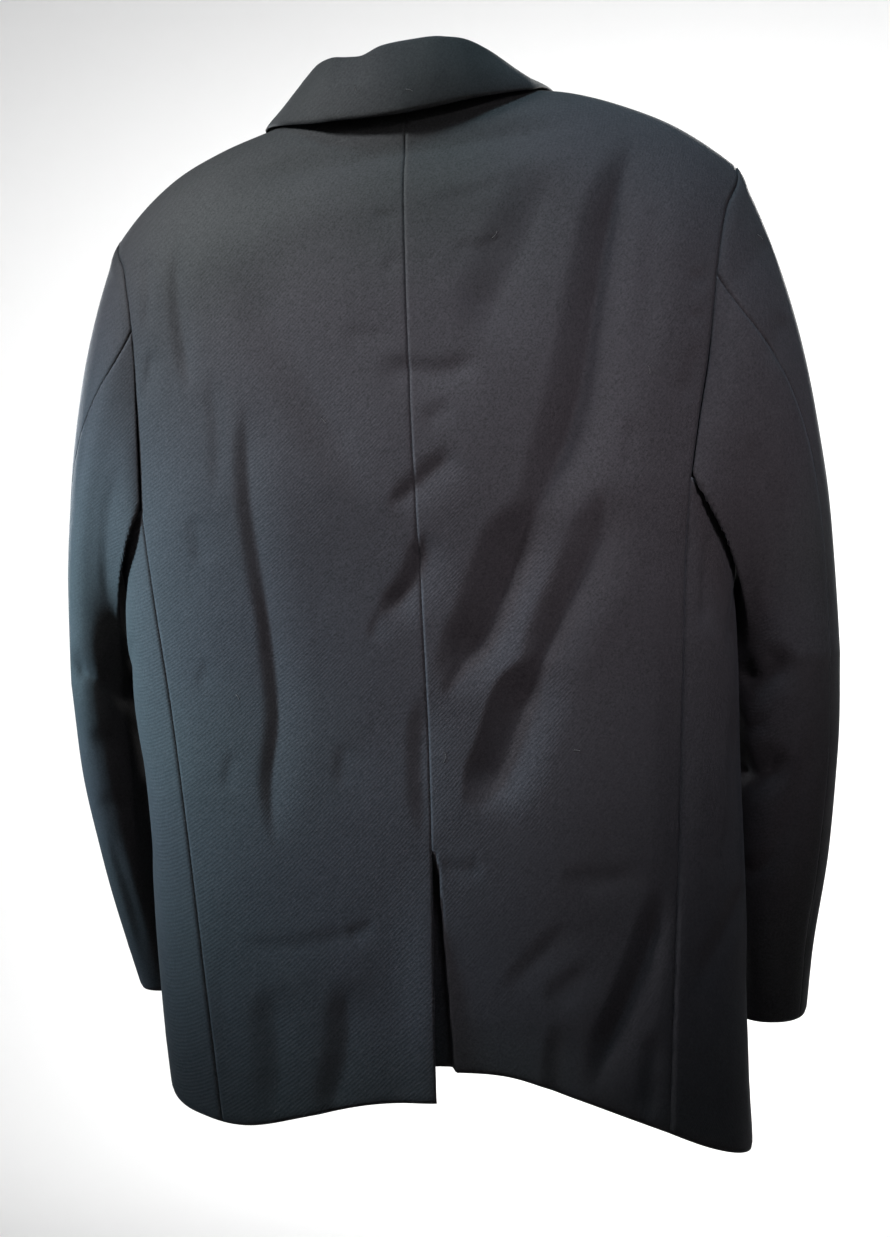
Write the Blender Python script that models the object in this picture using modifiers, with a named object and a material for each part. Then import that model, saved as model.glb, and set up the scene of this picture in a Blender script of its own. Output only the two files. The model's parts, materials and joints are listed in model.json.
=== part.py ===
"""A single-breasted blazer in dark wool, filled out with no wearer, open at neck, hem and cuffs.

The frame is that of the garment: +X is its left side, -Y its front and +Z up, with the origin at the height
of the nape, in the middle of the neck and shoulders. All sizes below are in centimetres, in this frame.
"""

import math
from collections import namedtuple

import bmesh
import bpy
import numpy as np

CM = 0.01
LEFT, RIGHT = 1, -1
SIDES = {"left": LEFT, "right": RIGHT}

CLOTH = 0.16
SEAM_GAP = 0.04
LAYER = 0.27

# The torso's walls are rings round the body, each a superellipse with its own widths and depths.
Ring = namedtuple("Ring", "z left right back front")
TORSO = (
    Ring(-82, 23.2, 22.0, 11.2, 10.8),
    Ring(-76, 23.6, 22.1, 11.1, 10.7),
    Ring(-67, 24.4, 22.3, 10.7, 10.4),
    Ring(-53, 24.9, 22.5, 9.9, 10.0),
    Ring(-43, 25.7, 22.6, 9.6, 9.9),
    Ring(-36, 26.2, 22.8, 10.1, 10.4),
    Ring(-28, 25.9, 23.3, 10.9, 11.0),
    Ring(-17, 26.0, 24.8, 11.0, 10.6),
    Ring(-5, 27.0, 25.8, 9.8, 9.4),
    Ring(6, 27.0, 25.8, 8.6, 8.6),
)
SQUARENESS = 2.35

# The shoulders' ridge, from the middle of the neck to past the sleeves' seams.
Ridge = namedtuple("Ridge", "x left right")
SHOULDERS = (
    Ridge(0, 4.6, 4.6),
    Ridge(8, 2.7, 2.9),
    Ridge(12, 1.6, 2.2),
    Ridge(16, 0.4, 0.8),
    Ridge(20, -1.4, -1.2),
    Ridge(23, -3.6, -3.4),
    Ridge(26, -6.5, -6.1),
)
SHOULDER_Y = 0.0
ROLL_HEIGHT = 12.0
NECK_HALF = 8.3
NAPE_Z = 0.3
NECKLINE_CURVE = 2.4

# Seam lines, each by its distance from the middle of the body.
Seam = namedtuple("Seam", "z left right")
CENTRE_BACK = (Seam(-76, 0.4, -0.4), Seam(-55, 0.15, -0.15), Seam(-28, 0.05, -0.05), Seam(1, 0.0, 0.0))
SIDE_BACK = (
    Seam(-82, 16.8, 15.5),
    Seam(-71, 17.8, 16.3),
    Seam(-57, 19.3, 17.4),
    Seam(-43, 20.8, 18.4),
    Seam(-33, 21.9, 19.1),
    Seam(-28.5, 22.4, 19.6),
)
SIDE_FRONT = (
    Seam(-82, 18.8, 17.6),
    Seam(-57, 19.6, 18.0),
    Seam(-43, 20.0, 18.4),
    Seam(-28.5, 20.4, 18.9),
)
ARMHOLE_BACK = (
    Seam(-28.5, 22.4, 19.6),
    Seam(-24, 22.3, 20.4),
    Seam(-20, 22.3, 21.2),
    Seam(-16, 22.4, 21.8),
    Seam(-12, 22.9, 22.4),
    Seam(-8, 24.1, 23.3),
    Seam(-5.5, 25.2, 24.2),
)
ARMHOLE_FRONT = (
    Seam(-28.5, 20.4, 18.9),
    Seam(-23, 19.6, 18.4),
    Seam(-17, 19.9, 18.9),
    Seam(-12, 21.4, 20.5),
    Seam(-8, 23.4, 22.6),
    Seam(-5.5, 25.2, 24.2),
)
ARMHOLE_BASE = -28.5
TIP_X = {LEFT: 25.2, RIGHT: 24.2}
UNDERARM_SCOOP, SCOOP_SQUARE = 2.3, 0.9
TIP_TURN = 6.0
FOLD_FADE, RIDGE_FADE = 3.0, 4.0

# The vent: its top, how far down it opens, and how far the underlap runs behind the left panel.
VENT_TOP_Z, VENT_OPENING = -54.5, 3.0
VENT_STEPS = (1.0, 2.4, 3.8)
VENT_DEPTH, VENT_DIP_WIDE, VENT_DIP_TURN = 0.42, 1.1, 0.7
VENT_FIRST_COLUMN = 0.35

# The hem's height round the body: 0 degrees is the centre back and 180 the front edge.
Hem = namedtuple("Hem", "angle left right")
HEM = (
    Hem(-4, -72.5, -70.5),
    Hem(10, -73.0, -71.0),
    Hem(20, -73.9, -72.4),
    Hem(36, -75.2, -74.7),
    Hem(55, -75.1, -77.2),
    Hem(90, -74.2, -79.5),
    Hem(120, -75.2, -79.4),
    Hem(150, -76.6, -78.6),
    Hem(180, -77.4, -78.4),
)
HEM_MIDDLE_Z, HEM_FRONT_ANGLE = -76, 165

# The front edge: the rounded corner at the hem, the overlap at the buttons, then the roll line to the neck.
Edge = namedtuple("Edge", "z x")
FRONT_EDGE = (
    Edge(-79, 9.5),
    Edge(-76.5, 5.6),
    Edge(-73, 2.9),
    Edge(-67, 0.9),
    Edge(-60, -0.7),
    Edge(-53, -1.7),
    Edge(-42, -1.9),
    Edge(-37, -0.6),
    Edge(-28.5, 1.6),
    Edge(-10, 6.1),
    Edge(-3, 7.7),
    Edge(2.5, 8.3),
)
BREAK_Z = -41.0
STEP_IN, STEP_OUT = 0.42, 0.15
STEP_TO_X, STEP_WIDE = 7.0, 4.0
OVERLAP_TOP_Z, OVERLAP_FADE = -30.0, 6.0
FRONT_ROW_SPREAD = 1.25

# The sleeves below the arm: rings with a middle, half sizes across and from back to front, by height.
Arm = namedtuple("Arm", "z out y across deep")
SLEEVE_LEFT = (
    Arm(-69.0, 27.2, -9.9, 2.8, 4.9),
    Arm(-66, 27.6, -9.2, 2.9, 5.1),
    Arm(-58, 28.5, -7.3, 3.2, 5.6),
    Arm(-50, 29.1, -5.8, 3.3, 6.1),
    Arm(-42, 29.3, -4.4, 3.05, 6.6),
)
SLEEVE_RIGHT = (
    Arm(-71.7, 24.4, -9.8, 3.0, 4.8),
    Arm(-66, 24.8, -8.7, 3.3, 5.1),
    Arm(-58, 25.55, -7.0, 3.95, 5.6),
    Arm(-50, 26.3, -5.7, 4.1, 6.1),
    Arm(-42, 26.65, -4.6, 4.1, 6.6),
)
SLEEVE_ROWS = {LEFT: SLEEVE_LEFT, RIGHT: SLEEVE_RIGHT}
SLEEVE_HEAD_OUT = 0.13
UNDERARM_OUT = 0.34

# Angles round the sleeve: 0 faces back, 90 outwards, 180 to the front and 270 to the body.
TIP_ANGLE, BACK_SEAM_ANGLE, FRONT_SEAM_ANGLE = 90.0, -44.0, 230.0
HINDARM_TOP, HINDARM_LOW = 8.0, {LEFT: 52.0, RIGHT: 44.0}
FOREARM = 204.0
CAP_SHARE, CAP_ROUNDING, SLEEVE_SQUARENESS = 0.55, 1.9, 2.2
SEAM_SWING_SHARE = 0.36
CAP_SLOPE, CAP_SLOPE_TOP = 0.55, 0.1

# The collar's fold and outer edge. Around counts 0 at the centre back, 1 on the shoulder, 2 at the gorge.
Collar = namedtuple("Collar", "around fold_x fold_y fold_z edge_x edge_y edge_z")
COLLAR_LEFT = (
    Collar(0.0, 0.0, 7.4, 4.7, 0.0, 8.75, -0.95),
    Collar(0.4, 3.1, 6.9, 4.4, 3.5, 8.3, -0.85),
    Collar(0.72, 5.7, 5.4, 4.75, 7.0, 7.25, -0.35),
    Collar(0.9, 7.3, 2.9, 5.2, 10.3, 4.7, 0.8),
    Collar(1.1, 8.1, -0.9, 4.9, 12.7, 0.7, 2.1),
    Collar(1.45, 8.3, -4.2, 3.2, 12.3, -3.9, 0.5),
    Collar(1.72, 8.0, -6.3, 0.4, 12.7, -6.6, -2.8),
    Collar(2.0, 7.6, -8.45, -3.4, 13.9, -8.2, -6.2),
)
COLLAR_RIGHT = (
    Collar(0.0, 0.0, 7.4, 4.75, 0.0, 8.75, -0.95),
    Collar(0.4, 3.1, 7.0, 4.9, 3.2, 8.0, -0.35),
    Collar(0.72, 5.4, 5.2, 4.6, 6.3, 6.7, 0.6),
    Collar(0.9, 7.1, 2.8, 3.9, 8.9, 4.6, 1.6),
    Collar(1.1, 7.9, -0.9, 3.9, 10.4, 0.4, 2.9),
    Collar(1.45, 8.2, -4.2, 3.0, 11.6, -3.9, 0.7),
    Collar(1.72, 8.0, -6.3, 0.4, 12.5, -6.6, -2.8),
    Collar(2.0, 7.6, -8.45, -3.4, 13.9, -8.2, -6.2),
)
COLLAR_ROWS = {LEFT: COLLAR_LEFT, RIGHT: COLLAR_RIGHT}
GORGE_Z, NOTCH_X, NOTCH_Z = -3.9, 11.5, -7.9
COLLAR_SEAM_GAP, COLLAR_LIFT, COLLAR_BULGE = 0.16, 1.4, 0.35
COLLAR_TURN, COLLAR_TURN_HIGH, COLLAR_TURN_OVER = 0.35, 0.22, 0.8
COLLAR_STEEP_Y, COLLAR_BELOW_RIDGE = 4.0, 1.0
COLLAR_INSIDE_SHARES, COLLAR_OUTSIDE_SHARES = (0.0, 0.35, 0.7), (0.25, 0.5, 0.75, 1.0)
COLLAR_NOTCH_SHARES = (0.3, 0.65, 1.0)

# The turned-back part of each front: its outer edge, from the top button to the notch.
LAPEL_EDGE = (
    Edge(-41.0, -1.9),
    Edge(-36.0, 3.0),
    Edge(-28.0, 8.0),
    Edge(-19.0, 11.7),
    Edge(-9.2, 15.0),
)
LAPEL_TOP_Z, GORGE_GAP, LAPEL_TIP_SHARE, LAPEL_EDGE_OUT, LAPEL_ROLL = -4.15, 0.25, 0.9, 0.15, 0.16
LAPEL_SPRING, LAPEL_SPRING_FADE, LAPEL_SPRING_Z, LAPEL_SPRING_RUN = 0.14, 5.0, -33.0, 4.0

# The largest folds of the back: each a soft trough, or a ridge where the depth is negative.
Fold = namedtuple("Fold", "x0 z0 x1 z1 width depth")
BACK_FOLDS = (
    Fold(-18.0, -5.0, -8.5, -27.0, 2.6, 0.55),
    Fold(-8.5, -27.0, -3.5, -43.0, 2.4, 0.70),
    Fold(-13.5, -10.0, -4.5, -32.0, 2.6, -0.35),
    Fold(-10.5, -33.0, -3.6, -52.0, 1.7, 0.50),
    Fold(13.0, -25.0, 11.0, -56.0, 1.8, 0.45),
    Fold(14.5, -12.0, 7.0, -34.0, 2.6, 0.30),
    Fold(17.5, -11.0, 17.8, -18.0, 1.2, 0.25),
    Fold(-19.2, -26.0, -17.2, -42.0, 1.3, 0.35),
    Fold(8.5, -61.0, 5.5, -74.0, 1.8, 0.30),
    Fold(-15.0, -58.0, -11.0, -72.0, 1.8, 0.35),
    Fold(4.0, -36.0, 0.6, -43.0, 1.2, -0.25),
    Fold(-12.0, -3.0, 13.0, -5.0, 1.6, 0.25),
)

FOLD_RUN_OUT = 0.15

# The folds of the sleeves, by height and angle: wide ones across the elbow, shallow ones along the arm.
Crease = namedtuple("Crease", "z angle tall round depth")
SLEEVE_CREASES = (
    Crease(-41.5, -20.0, 1.6, 55.0, 0.40),
    Crease(-45.5, -35.0, 1.5, 50.0, 0.34),
    Crease(-50.5, -25.0, 1.7, 45.0, 0.30),
    Crease(-37.0, 215.0, 1.8, 60.0, 0.30),
    Crease(-47.0, 185.0, 1.6, 50.0, 0.34),
    Crease(-23.0, 30.0, 7.0, 22.0, 0.25),
    Crease(-60.0, 10.0, 8.0, 26.0, 0.18),
)

CREASE_FADE_TOP, CREASE_FADE_CUFF = 3.0, 8.0

FRONT_FOLDS = (
    Fold(13.0, -8.0, 10.0, -33.0, 2.6, 0.28),
    Fold(15.5, -32.0, 4.0, -42.0, 1.7, 0.30),
    Fold(15.0, -36.0, 3.5, -45.5, 1.5, -0.22),
    Fold(12.5, -58.0, 13.5, -75.0, 2.2, 0.30),
)

FLAP_TOP_Z, FLAP_TALL, FLAP_INNER_X, FLAP_OUTER_X = -50.5, 5.2, 7.0, 18.4
FLAP_SLANT, FLAP_FLARE = 0.06, 0.05
WELT_Z, WELT_TALL, WELT_INNER_X, WELT_OUTER_X, WELT_RISE = -20.2, 2.3, 12.4, 18.4, 0.8
BUTTON_HEIGHTS = {"front_button_upper": -41.6, "front_button_lower": -53.0}
BUTTON_RADIUS, BUTTON_THICK, BUTTON_HOLE, BUTTON_HOLE_OUT = 1.0, 0.36, 0.11, 0.22
BUTTON_STEPS, BUTTON_HOLES, BUTTON_SEAT = 20, 4, 0.06
# The turned section of a button: share of its radius, and height from the cloth.
BUTTON_PROFILE = (
    (0.0, 0.10),
    (0.62, 0.10),
    (0.78, 0.0),
    (0.94, 0.02),
    (1.0, 0.14),
    (0.9, 0.30),
    (0.6, BUTTON_THICK),
    (0.0, BUTTON_THICK),
)
WOOL_COLOUR, WOOL_ROUGHNESS = (0.018, 0.021, 0.026), 0.85
HORN_COLOUR, HORN_ROUGHNESS = (0.012, 0.012, 0.014), 0.35


def smooth(places, values, at):
    """Reads a smooth curve that passes through the values given at these places."""
    places, values = np.asarray(places, float), np.asarray(values, float)
    slopes = np.gradient(values, places)
    at = np.clip(at, places[0], places[-1])
    i = np.clip(np.searchsorted(places, at) - 1, 0, len(places) - 2)
    step = places[i + 1] - places[i]
    t = (at - places[i]) / step
    start = (1 + 2 * t) * (1 - t) ** 2 * values[i] + t * (1 - t) ** 2 * step * slopes[i]
    return start + t * t * (3 - 2 * t) * values[i + 1] + t * t * (t - 1) * step * slopes[i + 1]


def column(table, name, at):
    """One named column of a table, read smoothly by the table's first column."""
    return smooth([row[0] for row in table], [getattr(row, name) for row in table], at)


def side_column(table, side, at):
    return column(table, "left" if side == LEFT else "right", at)


def blend(first, last, share):
    return first + (last - first) * share


def ease(share):
    share = np.clip(share, 0.0, 1.0)
    return share * share * (3 - 2 * share)


def points(x, y, z):
    return np.stack(np.broadcast_arrays(x, y, z), axis=-1).astype(float)


def wall_depth(x, z, side, face):
    """How far the torso's ring lies from its middle, behind or in front, at this distance from the middle."""
    width = side_column(TORSO, side, z)
    share = np.clip(np.abs(x) / width, 0, 0.9995)
    return column(TORSO, face, z) * (1 - share**SQUARENESS) ** (1 / SQUARENESS)


def ridge_height(x, side):
    return side_column(SHOULDERS, side, np.abs(x))


def wall(x, z, side, face):
    """A point of the torso's wall. x counts outwards from the middle, on either side."""
    drop = np.clip((ridge_height(x, side) - z) / ROLL_HEIGHT, 0, 1)
    rolled = np.sqrt(1 - (1 - drop) ** 2)
    depth = wall_depth(x, z, side, face) * (1 if face == "back" else -1)
    return points(x * side, SHOULDER_Y + (depth - SHOULDER_Y) * rolled, z)


def ring_angle(x, z, side, face):
    share = np.clip(x / side_column(TORSO, side, z), -0.5, 0.999)
    angle = np.degrees(np.arcsin(np.sign(share) * np.abs(share) ** (SQUARENESS / 2)))
    return angle if face == "back" else 180 - angle


def ring_point(angle, z, side):
    """A point of the torso's wall by its angle round the body, from the centre back."""
    sine, cosine = np.sin(np.radians(angle)), np.cos(np.radians(angle))
    power = 2 / SQUARENESS
    depth = np.where(cosine > 0, column(TORSO, "back", z), column(TORSO, "front", z))
    x = side_column(TORSO, side, z) * np.abs(sine) ** power
    return points(x * side, depth * np.sign(cosine) * np.abs(cosine) ** power, z)


def hem_height(angle, side):
    return side_column(HEM, side, angle)


def neckline_or_ridge(x, side):
    """The top edge of the back: the neckline near the middle, then the shoulder seam."""
    share = np.clip(np.abs(x) / NECK_HALF, 0, 1)
    neck = NAPE_Z + (ridge_height(NECK_HALF, side) - NAPE_Z) * share**NECKLINE_CURVE
    return np.where(np.abs(x) < NECK_HALF, neck, ridge_height(x, side))


def fold_depth(folds, x, z):
    """The sum of the folds at a place: each fades along its length and to both sides."""
    total = np.zeros(np.broadcast(x, z).shape)
    for fold in folds:
        run = np.array([fold.x1 - fold.x0, fold.z1 - fold.z0])
        length = np.hypot(*run)
        along = ((x - fold.x0) * run[0] + (z - fold.z0) * run[1]) / length**2
        aside = ((x - fold.x0) * run[1] - (z - fold.z0) * run[0]) / length
        ends = ease((along / FOLD_RUN_OUT + 1) / 2) * ease(((1 - along) / FOLD_RUN_OUT + 1) / 2)
        total += fold.depth * ends * np.exp(-((aside / fold.width) ** 2))
    return total


def pulled_in(grid, first_row=True, last_row=True, first_column=True, last_column=True):
    """The grid with its seam edges moved in by half of the gap between two pieces."""
    grid = grid.copy()
    for wanted, edge, inner in (
        (first_row, (0, slice(None)), (1, slice(None))),
        (last_row, (-1, slice(None)), (-2, slice(None))),
        (first_column, (slice(None), 0), (slice(None), 1)),
        (last_column, (slice(None), -1), (slice(None), -2)),
    ):
        if wanted:
            step = grid[inner] - grid[edge]
            grid[edge] += step / np.linalg.norm(step, axis=-1, keepdims=True) * SEAM_GAP / 2
    return grid


def moved_out(grid, amount):
    """The grid moved along its own normals, by one amount or by one for each point."""
    across, along = np.gradient(grid, axis=1), np.gradient(grid, axis=0)
    normal = np.cross(across, along)
    normal /= np.linalg.norm(normal, axis=-1, keepdims=True)
    outwards = np.sign((normal[..., :2] * grid[..., :2]).sum())
    return grid + normal * outwards * np.asarray(amount)[..., None]


def panel(side, face, inner_x, seam, armhole, low_rows, high_rows, columns):
    """A back or front panel from hem to shoulder: its points' distances from the middle, and heights."""
    across = np.linspace(0, 1, columns)[None, :]
    top_in = NAPE_Z if face == "back" else ridge_height(NECK_HALF, side)
    seam_angle = ring_angle(side_column(seam, side, HEM_MIDDLE_Z), HEM_MIDDLE_Z, side, face)
    hem_in = hem_height(0 if face == "back" else HEM_FRONT_ANGLE, side)
    hem_out = hem_height(seam_angle, side)
    hem_x = blend(inner_x(hem_in), side_column(seam, side, hem_out), across)
    hem_z = hem_height(ring_angle(hem_x, HEM_MIDDLE_Z, side, face), side)
    hem_z = hem_z + blend(hem_in - hem_z[:, :1], hem_out - hem_z[:, -1:], across)
    rows_x, rows_z = [], []
    for share in low_rows:
        z_in, z_out = blend(hem_in, ARMHOLE_BASE, share), blend(hem_out, ARMHOLE_BASE, share)
        rows_x.append(blend(inner_x(z_in), side_column(seam, side, z_out), across))
        rows_z.append(blend(hem_z, ARMHOLE_BASE, share))
    tip_z = ridge_height(TIP_X[side], side)
    top_x = blend(inner_x(top_in), TIP_X[side], across)
    top_z = neckline_or_ridge(top_x, side) if face == "back" else ridge_height(top_x, side)
    for share in high_rows:
        z_in, z_out = blend(ARMHOLE_BASE, top_in, share), blend(ARMHOLE_BASE, tip_z, share)
        rows_x.append(blend(inner_x(z_in), armhole_x(armhole, z_out, share, side), across))
        rows_z.append(blend(ARMHOLE_BASE, top_z, share))
    return np.concatenate(rows_x), np.concatenate(rows_z)


def high_shares(count):
    """Rows above the armhole's base, closer together where the cloth rolls over the shoulder."""
    return 1 - (1 - np.linspace(0, 1, count + 1)[1:]) ** CAP_ROUNDING


def back_inner_x(side):
    return lambda z: side_column(CENTRE_BACK, side, z)


def back_grid(side, low=20, high=15, columns=12):
    """The back panel's wall between the centre seam, side seam, armhole, shoulder and neck."""
    x, z = panel(
        side, "back", back_inner_x(side), SIDE_BACK, ARMHOLE_BACK,
        np.linspace(0, 1, low), high_shares(high), columns,
    )
    if side == RIGHT:
        x = beside_vent(x, z, side)
    grid = folded_back(wall(x, z, side, "back"), x, z, side)
    if side == RIGHT:
        grid[..., 1] -= vent_dip(x, z, side)
    return grid


def beside_vent(x, z, side):
    """The two columns next to the centre edge are drawn in to the width of the vent's dip."""
    edge = side_column(CENTRE_BACK, side, z[:, 0])
    opened = ease((VENT_TOP_Z + VENT_OPENING - z[:, 0]) / VENT_OPENING)
    x = x.copy()
    x[:, 1] = blend(x[:, 1], edge + VENT_FIRST_COLUMN, opened)
    x[:, 2] = blend(x[:, 2], edge + VENT_DIP_WIDE, opened)
    return x


def folded_back(grid, x, z, side):
    grid[..., 1] -= fold_depth(BACK_FOLDS, x * side, z) * seam_fade(x, z, side, SIDE_BACK, ARMHOLE_BACK)
    return grid


def seam_fade(x, z, side, seam, armhole):
    """Folds fade out towards the side seam, the armhole and the shoulder, where pieces meet."""
    outer = np.where(z < ARMHOLE_BASE, side_column(seam, side, z), side_column(armhole, side, z))
    return ease((outer - x) / FOLD_FADE) * ease((ridge_height(x, side) - z) / RIDGE_FADE)


def vent_grid(side, low=20):
    """The flap under the vent: on from the right panel's centre edge, and in under the left panel."""
    heights = np.linspace(0, 1, low)
    edge_z = blend(hem_height(0, side), ARMHOLE_BASE, heights)
    edge_z = edge_z[edge_z < VENT_TOP_Z - VENT_OPENING]
    across = np.array(VENT_STEPS)[None, :]
    x = side_column(CENTRE_BACK, side, edge_z)[:, None] - across
    grid = wall(x, np.repeat(edge_z[:, None], across.shape[1], axis=1), side, "back")
    grid[..., 1] -= VENT_DEPTH
    return grid


def vent_dip(x, z, side):
    """How far the right panel's edge dips in under the left one, below the top of the vent."""
    from_edge = x - side_column(CENTRE_BACK, side, z)
    opened = ease((VENT_TOP_Z - z) / VENT_OPENING)
    return VENT_DEPTH * opened * ease((VENT_DIP_WIDE - from_edge) / VENT_DIP_TURN)


def front_inner_x(z):
    return column(FRONT_EDGE, "x", z)


def front_grid(side, low=18, high=15, columns=12):
    """The front panel's wall. The right one steps in behind the left one where they overlap."""
    shares = np.linspace(0, 1, low) ** FRONT_ROW_SPREAD
    x, z = panel(
        side, "front", front_inner_x, SIDE_FRONT, ARMHOLE_FRONT, shares, high_shares(high), columns
    )
    return front_wall(x, z, side)


def front_wall(x, z, side):
    """The front's wall with its folds and the step where one front laps over the other."""
    grid = wall(x, z, side, "front")
    fade = seam_fade(x, z, side, SIDE_FRONT, ARMHOLE_FRONT) * ease((x - front_inner_x(z)) / FOLD_FADE)
    grid[..., 1] += fold_depth(FRONT_FOLDS, x, z) * fade + front_step(x, z, side)
    return grid


def front_step(x, z, side):
    """Where the fronts overlap, the right one steps in and the left one out."""
    share = ease((STEP_TO_X - x) / STEP_WIDE) * ease((OVERLAP_TOP_Z - z) / OVERLAP_FADE)
    return share * (STEP_IN if side == RIGHT else -STEP_OUT)


def side_body(across, z, side):
    """A point of the side body, by its share of the way from the back seam to the front one."""
    back = ring_angle(side_column(SIDE_BACK, side, z), z, side, "back")
    front = ring_angle(side_column(SIDE_FRONT, side, z), z, side, "front")
    return ring_point(blend(back, front, across), z, side)


def underarm_height(across):
    """The side body's top edge dips below the armhole's base in a round scoop."""
    return ARMHOLE_BASE - UNDERARM_SCOOP * np.sin(np.pi * across) ** SCOOP_SQUARE


def side_grid(side, rows=20, columns=9):
    """The side body between its two seams, from the hem to the underarm."""
    across, up = np.linspace(0, 1, columns)[None, :], np.linspace(0, 1, rows)[:, None]
    top = underarm_height(across)
    low_back = ring_angle(side_column(SIDE_BACK, side, HEM_MIDDLE_Z), HEM_MIDDLE_Z, side, "back")
    low_front = ring_angle(side_column(SIDE_FRONT, side, HEM_MIDDLE_Z), HEM_MIDDLE_Z, side, "front")
    hem = hem_height(blend(low_back, low_front, across), side)
    return side_body(across, blend(hem, top, up), side)


def armhole_x(armhole, z, share, side):
    """The armhole's distance from the middle. Near the shoulder tip it closes on the tip."""
    near_tip = ease(share * TIP_TURN - (TIP_TURN - 1))
    return blend(side_column(armhole, side, z), TIP_X[side], near_tip)


def underarm(across, side):
    """The line under the arm, on the side body's top edge, from the back seam to the front one."""
    return side_body(across, underarm_height(across), side)


def armhole_point(angle, side):
    """The line of the armhole by the sleeve's angle, read from the edges of the back, side and front."""
    angle = np.asarray(angle, float)
    back_share = (angle - BACK_SEAM_ANGLE) / (TIP_ANGLE - BACK_SEAM_ANGLE)
    front_share = (FRONT_SEAM_ANGLE - angle) / (FRONT_SEAM_ANGLE - TIP_ANGLE)
    under_share = (360 + BACK_SEAM_ANGLE - angle) / (360 + BACK_SEAM_ANGLE - FRONT_SEAM_ANGLE)
    tip_z = ridge_height(TIP_X[side], side)

    def upper(share, armhole, face):
        height = 1 - (1 - np.clip(share, 0, 1)) ** CAP_ROUNDING
        z = blend(ARMHOLE_BASE, tip_z, height)
        return wall(armhole_x(armhole, z, height, side), z, side, face)

    on_back = (angle <= TIP_ANGLE)[..., None]
    on_front = ((angle > TIP_ANGLE) & (angle <= FRONT_SEAM_ANGLE))[..., None]
    behind = upper(back_share, ARMHOLE_BACK, "back")
    before = upper(front_share, ARMHOLE_FRONT, "front")
    high = np.where(on_back, behind, before)
    return np.where(on_back | on_front, high, underarm(np.clip(under_share, 0, 1), side))


def sleeve_ring(angle, z, side):
    """A point of the sleeve below the arm, by its angle round the sleeve and its height."""
    rows = SLEEVE_ROWS[side]
    sine, cosine = np.sin(np.radians(angle)), np.cos(np.radians(angle))
    power = 2 / SLEEVE_SQUARENESS
    x = column(rows, "out", z) + column(rows, "across", z) * np.sign(sine) * np.abs(sine) ** power
    y = column(rows, "y", z) + column(rows, "deep", z) * np.sign(cosine) * np.abs(cosine) ** power
    return points(x * side, y, z)


def sleeve_crease(angle, z):
    total = np.zeros(np.broadcast(angle, z).shape)
    for crease in SLEEVE_CREASES:
        turn = (angle - crease.angle + 180) % 360 - 180
        total += crease.depth * np.exp(-((turn / crease.round) ** 2) - ((z - crease.z) / crease.tall) ** 2)
    return total


def sleeve_start(angle, side):
    """The sleeve's first line: the armhole, moved out far enough to clear the body's cloth."""
    start = armhole_point(angle, side)
    under = ease(np.clip(-np.sin(np.radians(angle)), 0, 1) * 2)[..., None]
    width, depth = side_column(TORSO, side, ARMHOLE_BASE), column(TORSO, "back", ARMHOLE_BASE)
    away = points(start[..., 0] / width**2, start[..., 1] / depth**2, 0)
    away /= np.linalg.norm(away, axis=-1, keepdims=True)
    outwards = blend(points(side, 0, 0), away, under)
    return start + outwards * blend(SLEEVE_HEAD_OUT, UNDERARM_OUT, under)


def sleeve_points(angle, share, side):
    """A point of the sleeve: from the armhole in a smooth loft to the first ring, then down to the cuff."""
    rows = SLEEVE_ROWS[side]
    first_z, cuff_z = rows[-1].z, rows[0].z
    in_cap = np.clip(share / CAP_SHARE, 0, 1)
    below = np.clip((share - CAP_SHARE) / (1 - CAP_SHARE), 0, 1)
    start = sleeve_start(angle, side)
    end = sleeve_ring(angle, np.full(np.shape(angle), first_z), side)
    reach = np.linalg.norm(end - start, axis=-1, keepdims=True)
    top = np.clip(np.sin(np.radians(angle)), 0, 1)[..., None]
    leave = points(side, 0, 0) * (CAP_SLOPE - CAP_SLOPE_TOP * top) + points(0, 0, -1.0)
    leave = leave / np.linalg.norm(leave, axis=-1, keepdims=True) * reach
    arrive = points(0, 0, -1.0) * reach
    t = in_cap[..., None]
    cap = (1 + 2 * t) * (1 - t) ** 2 * start + t * (1 - t) ** 2 * leave
    cap = cap + t * t * (3 - 2 * t) * end + t * t * (t - 1) * arrive
    arm = sleeve_ring(angle, blend(first_z, cuff_z, below), side)
    grid = np.where(t < 1, cap, arm)
    middle = points(column(rows, "out", grid[..., 2]) * side, column(rows, "y", grid[..., 2]), grid[..., 2])
    inwards = middle - grid
    inwards /= np.maximum(np.linalg.norm(inwards, axis=-1, keepdims=True), 1e-6)
    steady = ease(in_cap * CREASE_FADE_TOP) * ease((1 - share) * CREASE_FADE_CUFF)
    return grid + inwards * (sleeve_crease(angle, grid[..., 2]) * steady)[..., None]


def sleeve_grid(side, which, rows=24, columns=15):
    """The top or under sleeve. The hindarm seam swings outwards on its way down to the elbow."""
    share = np.linspace(0, 1, rows)[:, None]
    across = np.linspace(0, 1, columns)[None, :]
    hindarm = blend(HINDARM_TOP, HINDARM_LOW[side], ease(share / SEAM_SWING_SHARE))
    if which == "top":
        behind, before = blend(hindarm, TIP_ANGLE, across * 2), blend(TIP_ANGLE, FOREARM, across * 2 - 1)
        angle = np.where(across < 0.5, behind, before)
    else:
        angle = blend(FOREARM, 360 + hindarm, across)
    angle = np.broadcast_to(angle, (rows, columns))
    wrapped = np.where(angle > 360 + BACK_SEAM_ANGLE, angle - 360, angle)
    return sleeve_points(wrapped, np.broadcast_to(share, angle.shape), side)


def shoulder_top(x, y, side):
    """The height of the torso's wall above a place near the shoulders."""
    face = "back" if y > 0 else "front"
    rolled = np.clip(np.abs(y) / wall_depth(x, 0.0, side, face), 0, 1)
    return ridge_height(x, side) - ROLL_HEIGHT * (1 - np.sqrt(1 - rolled**2))


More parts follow.
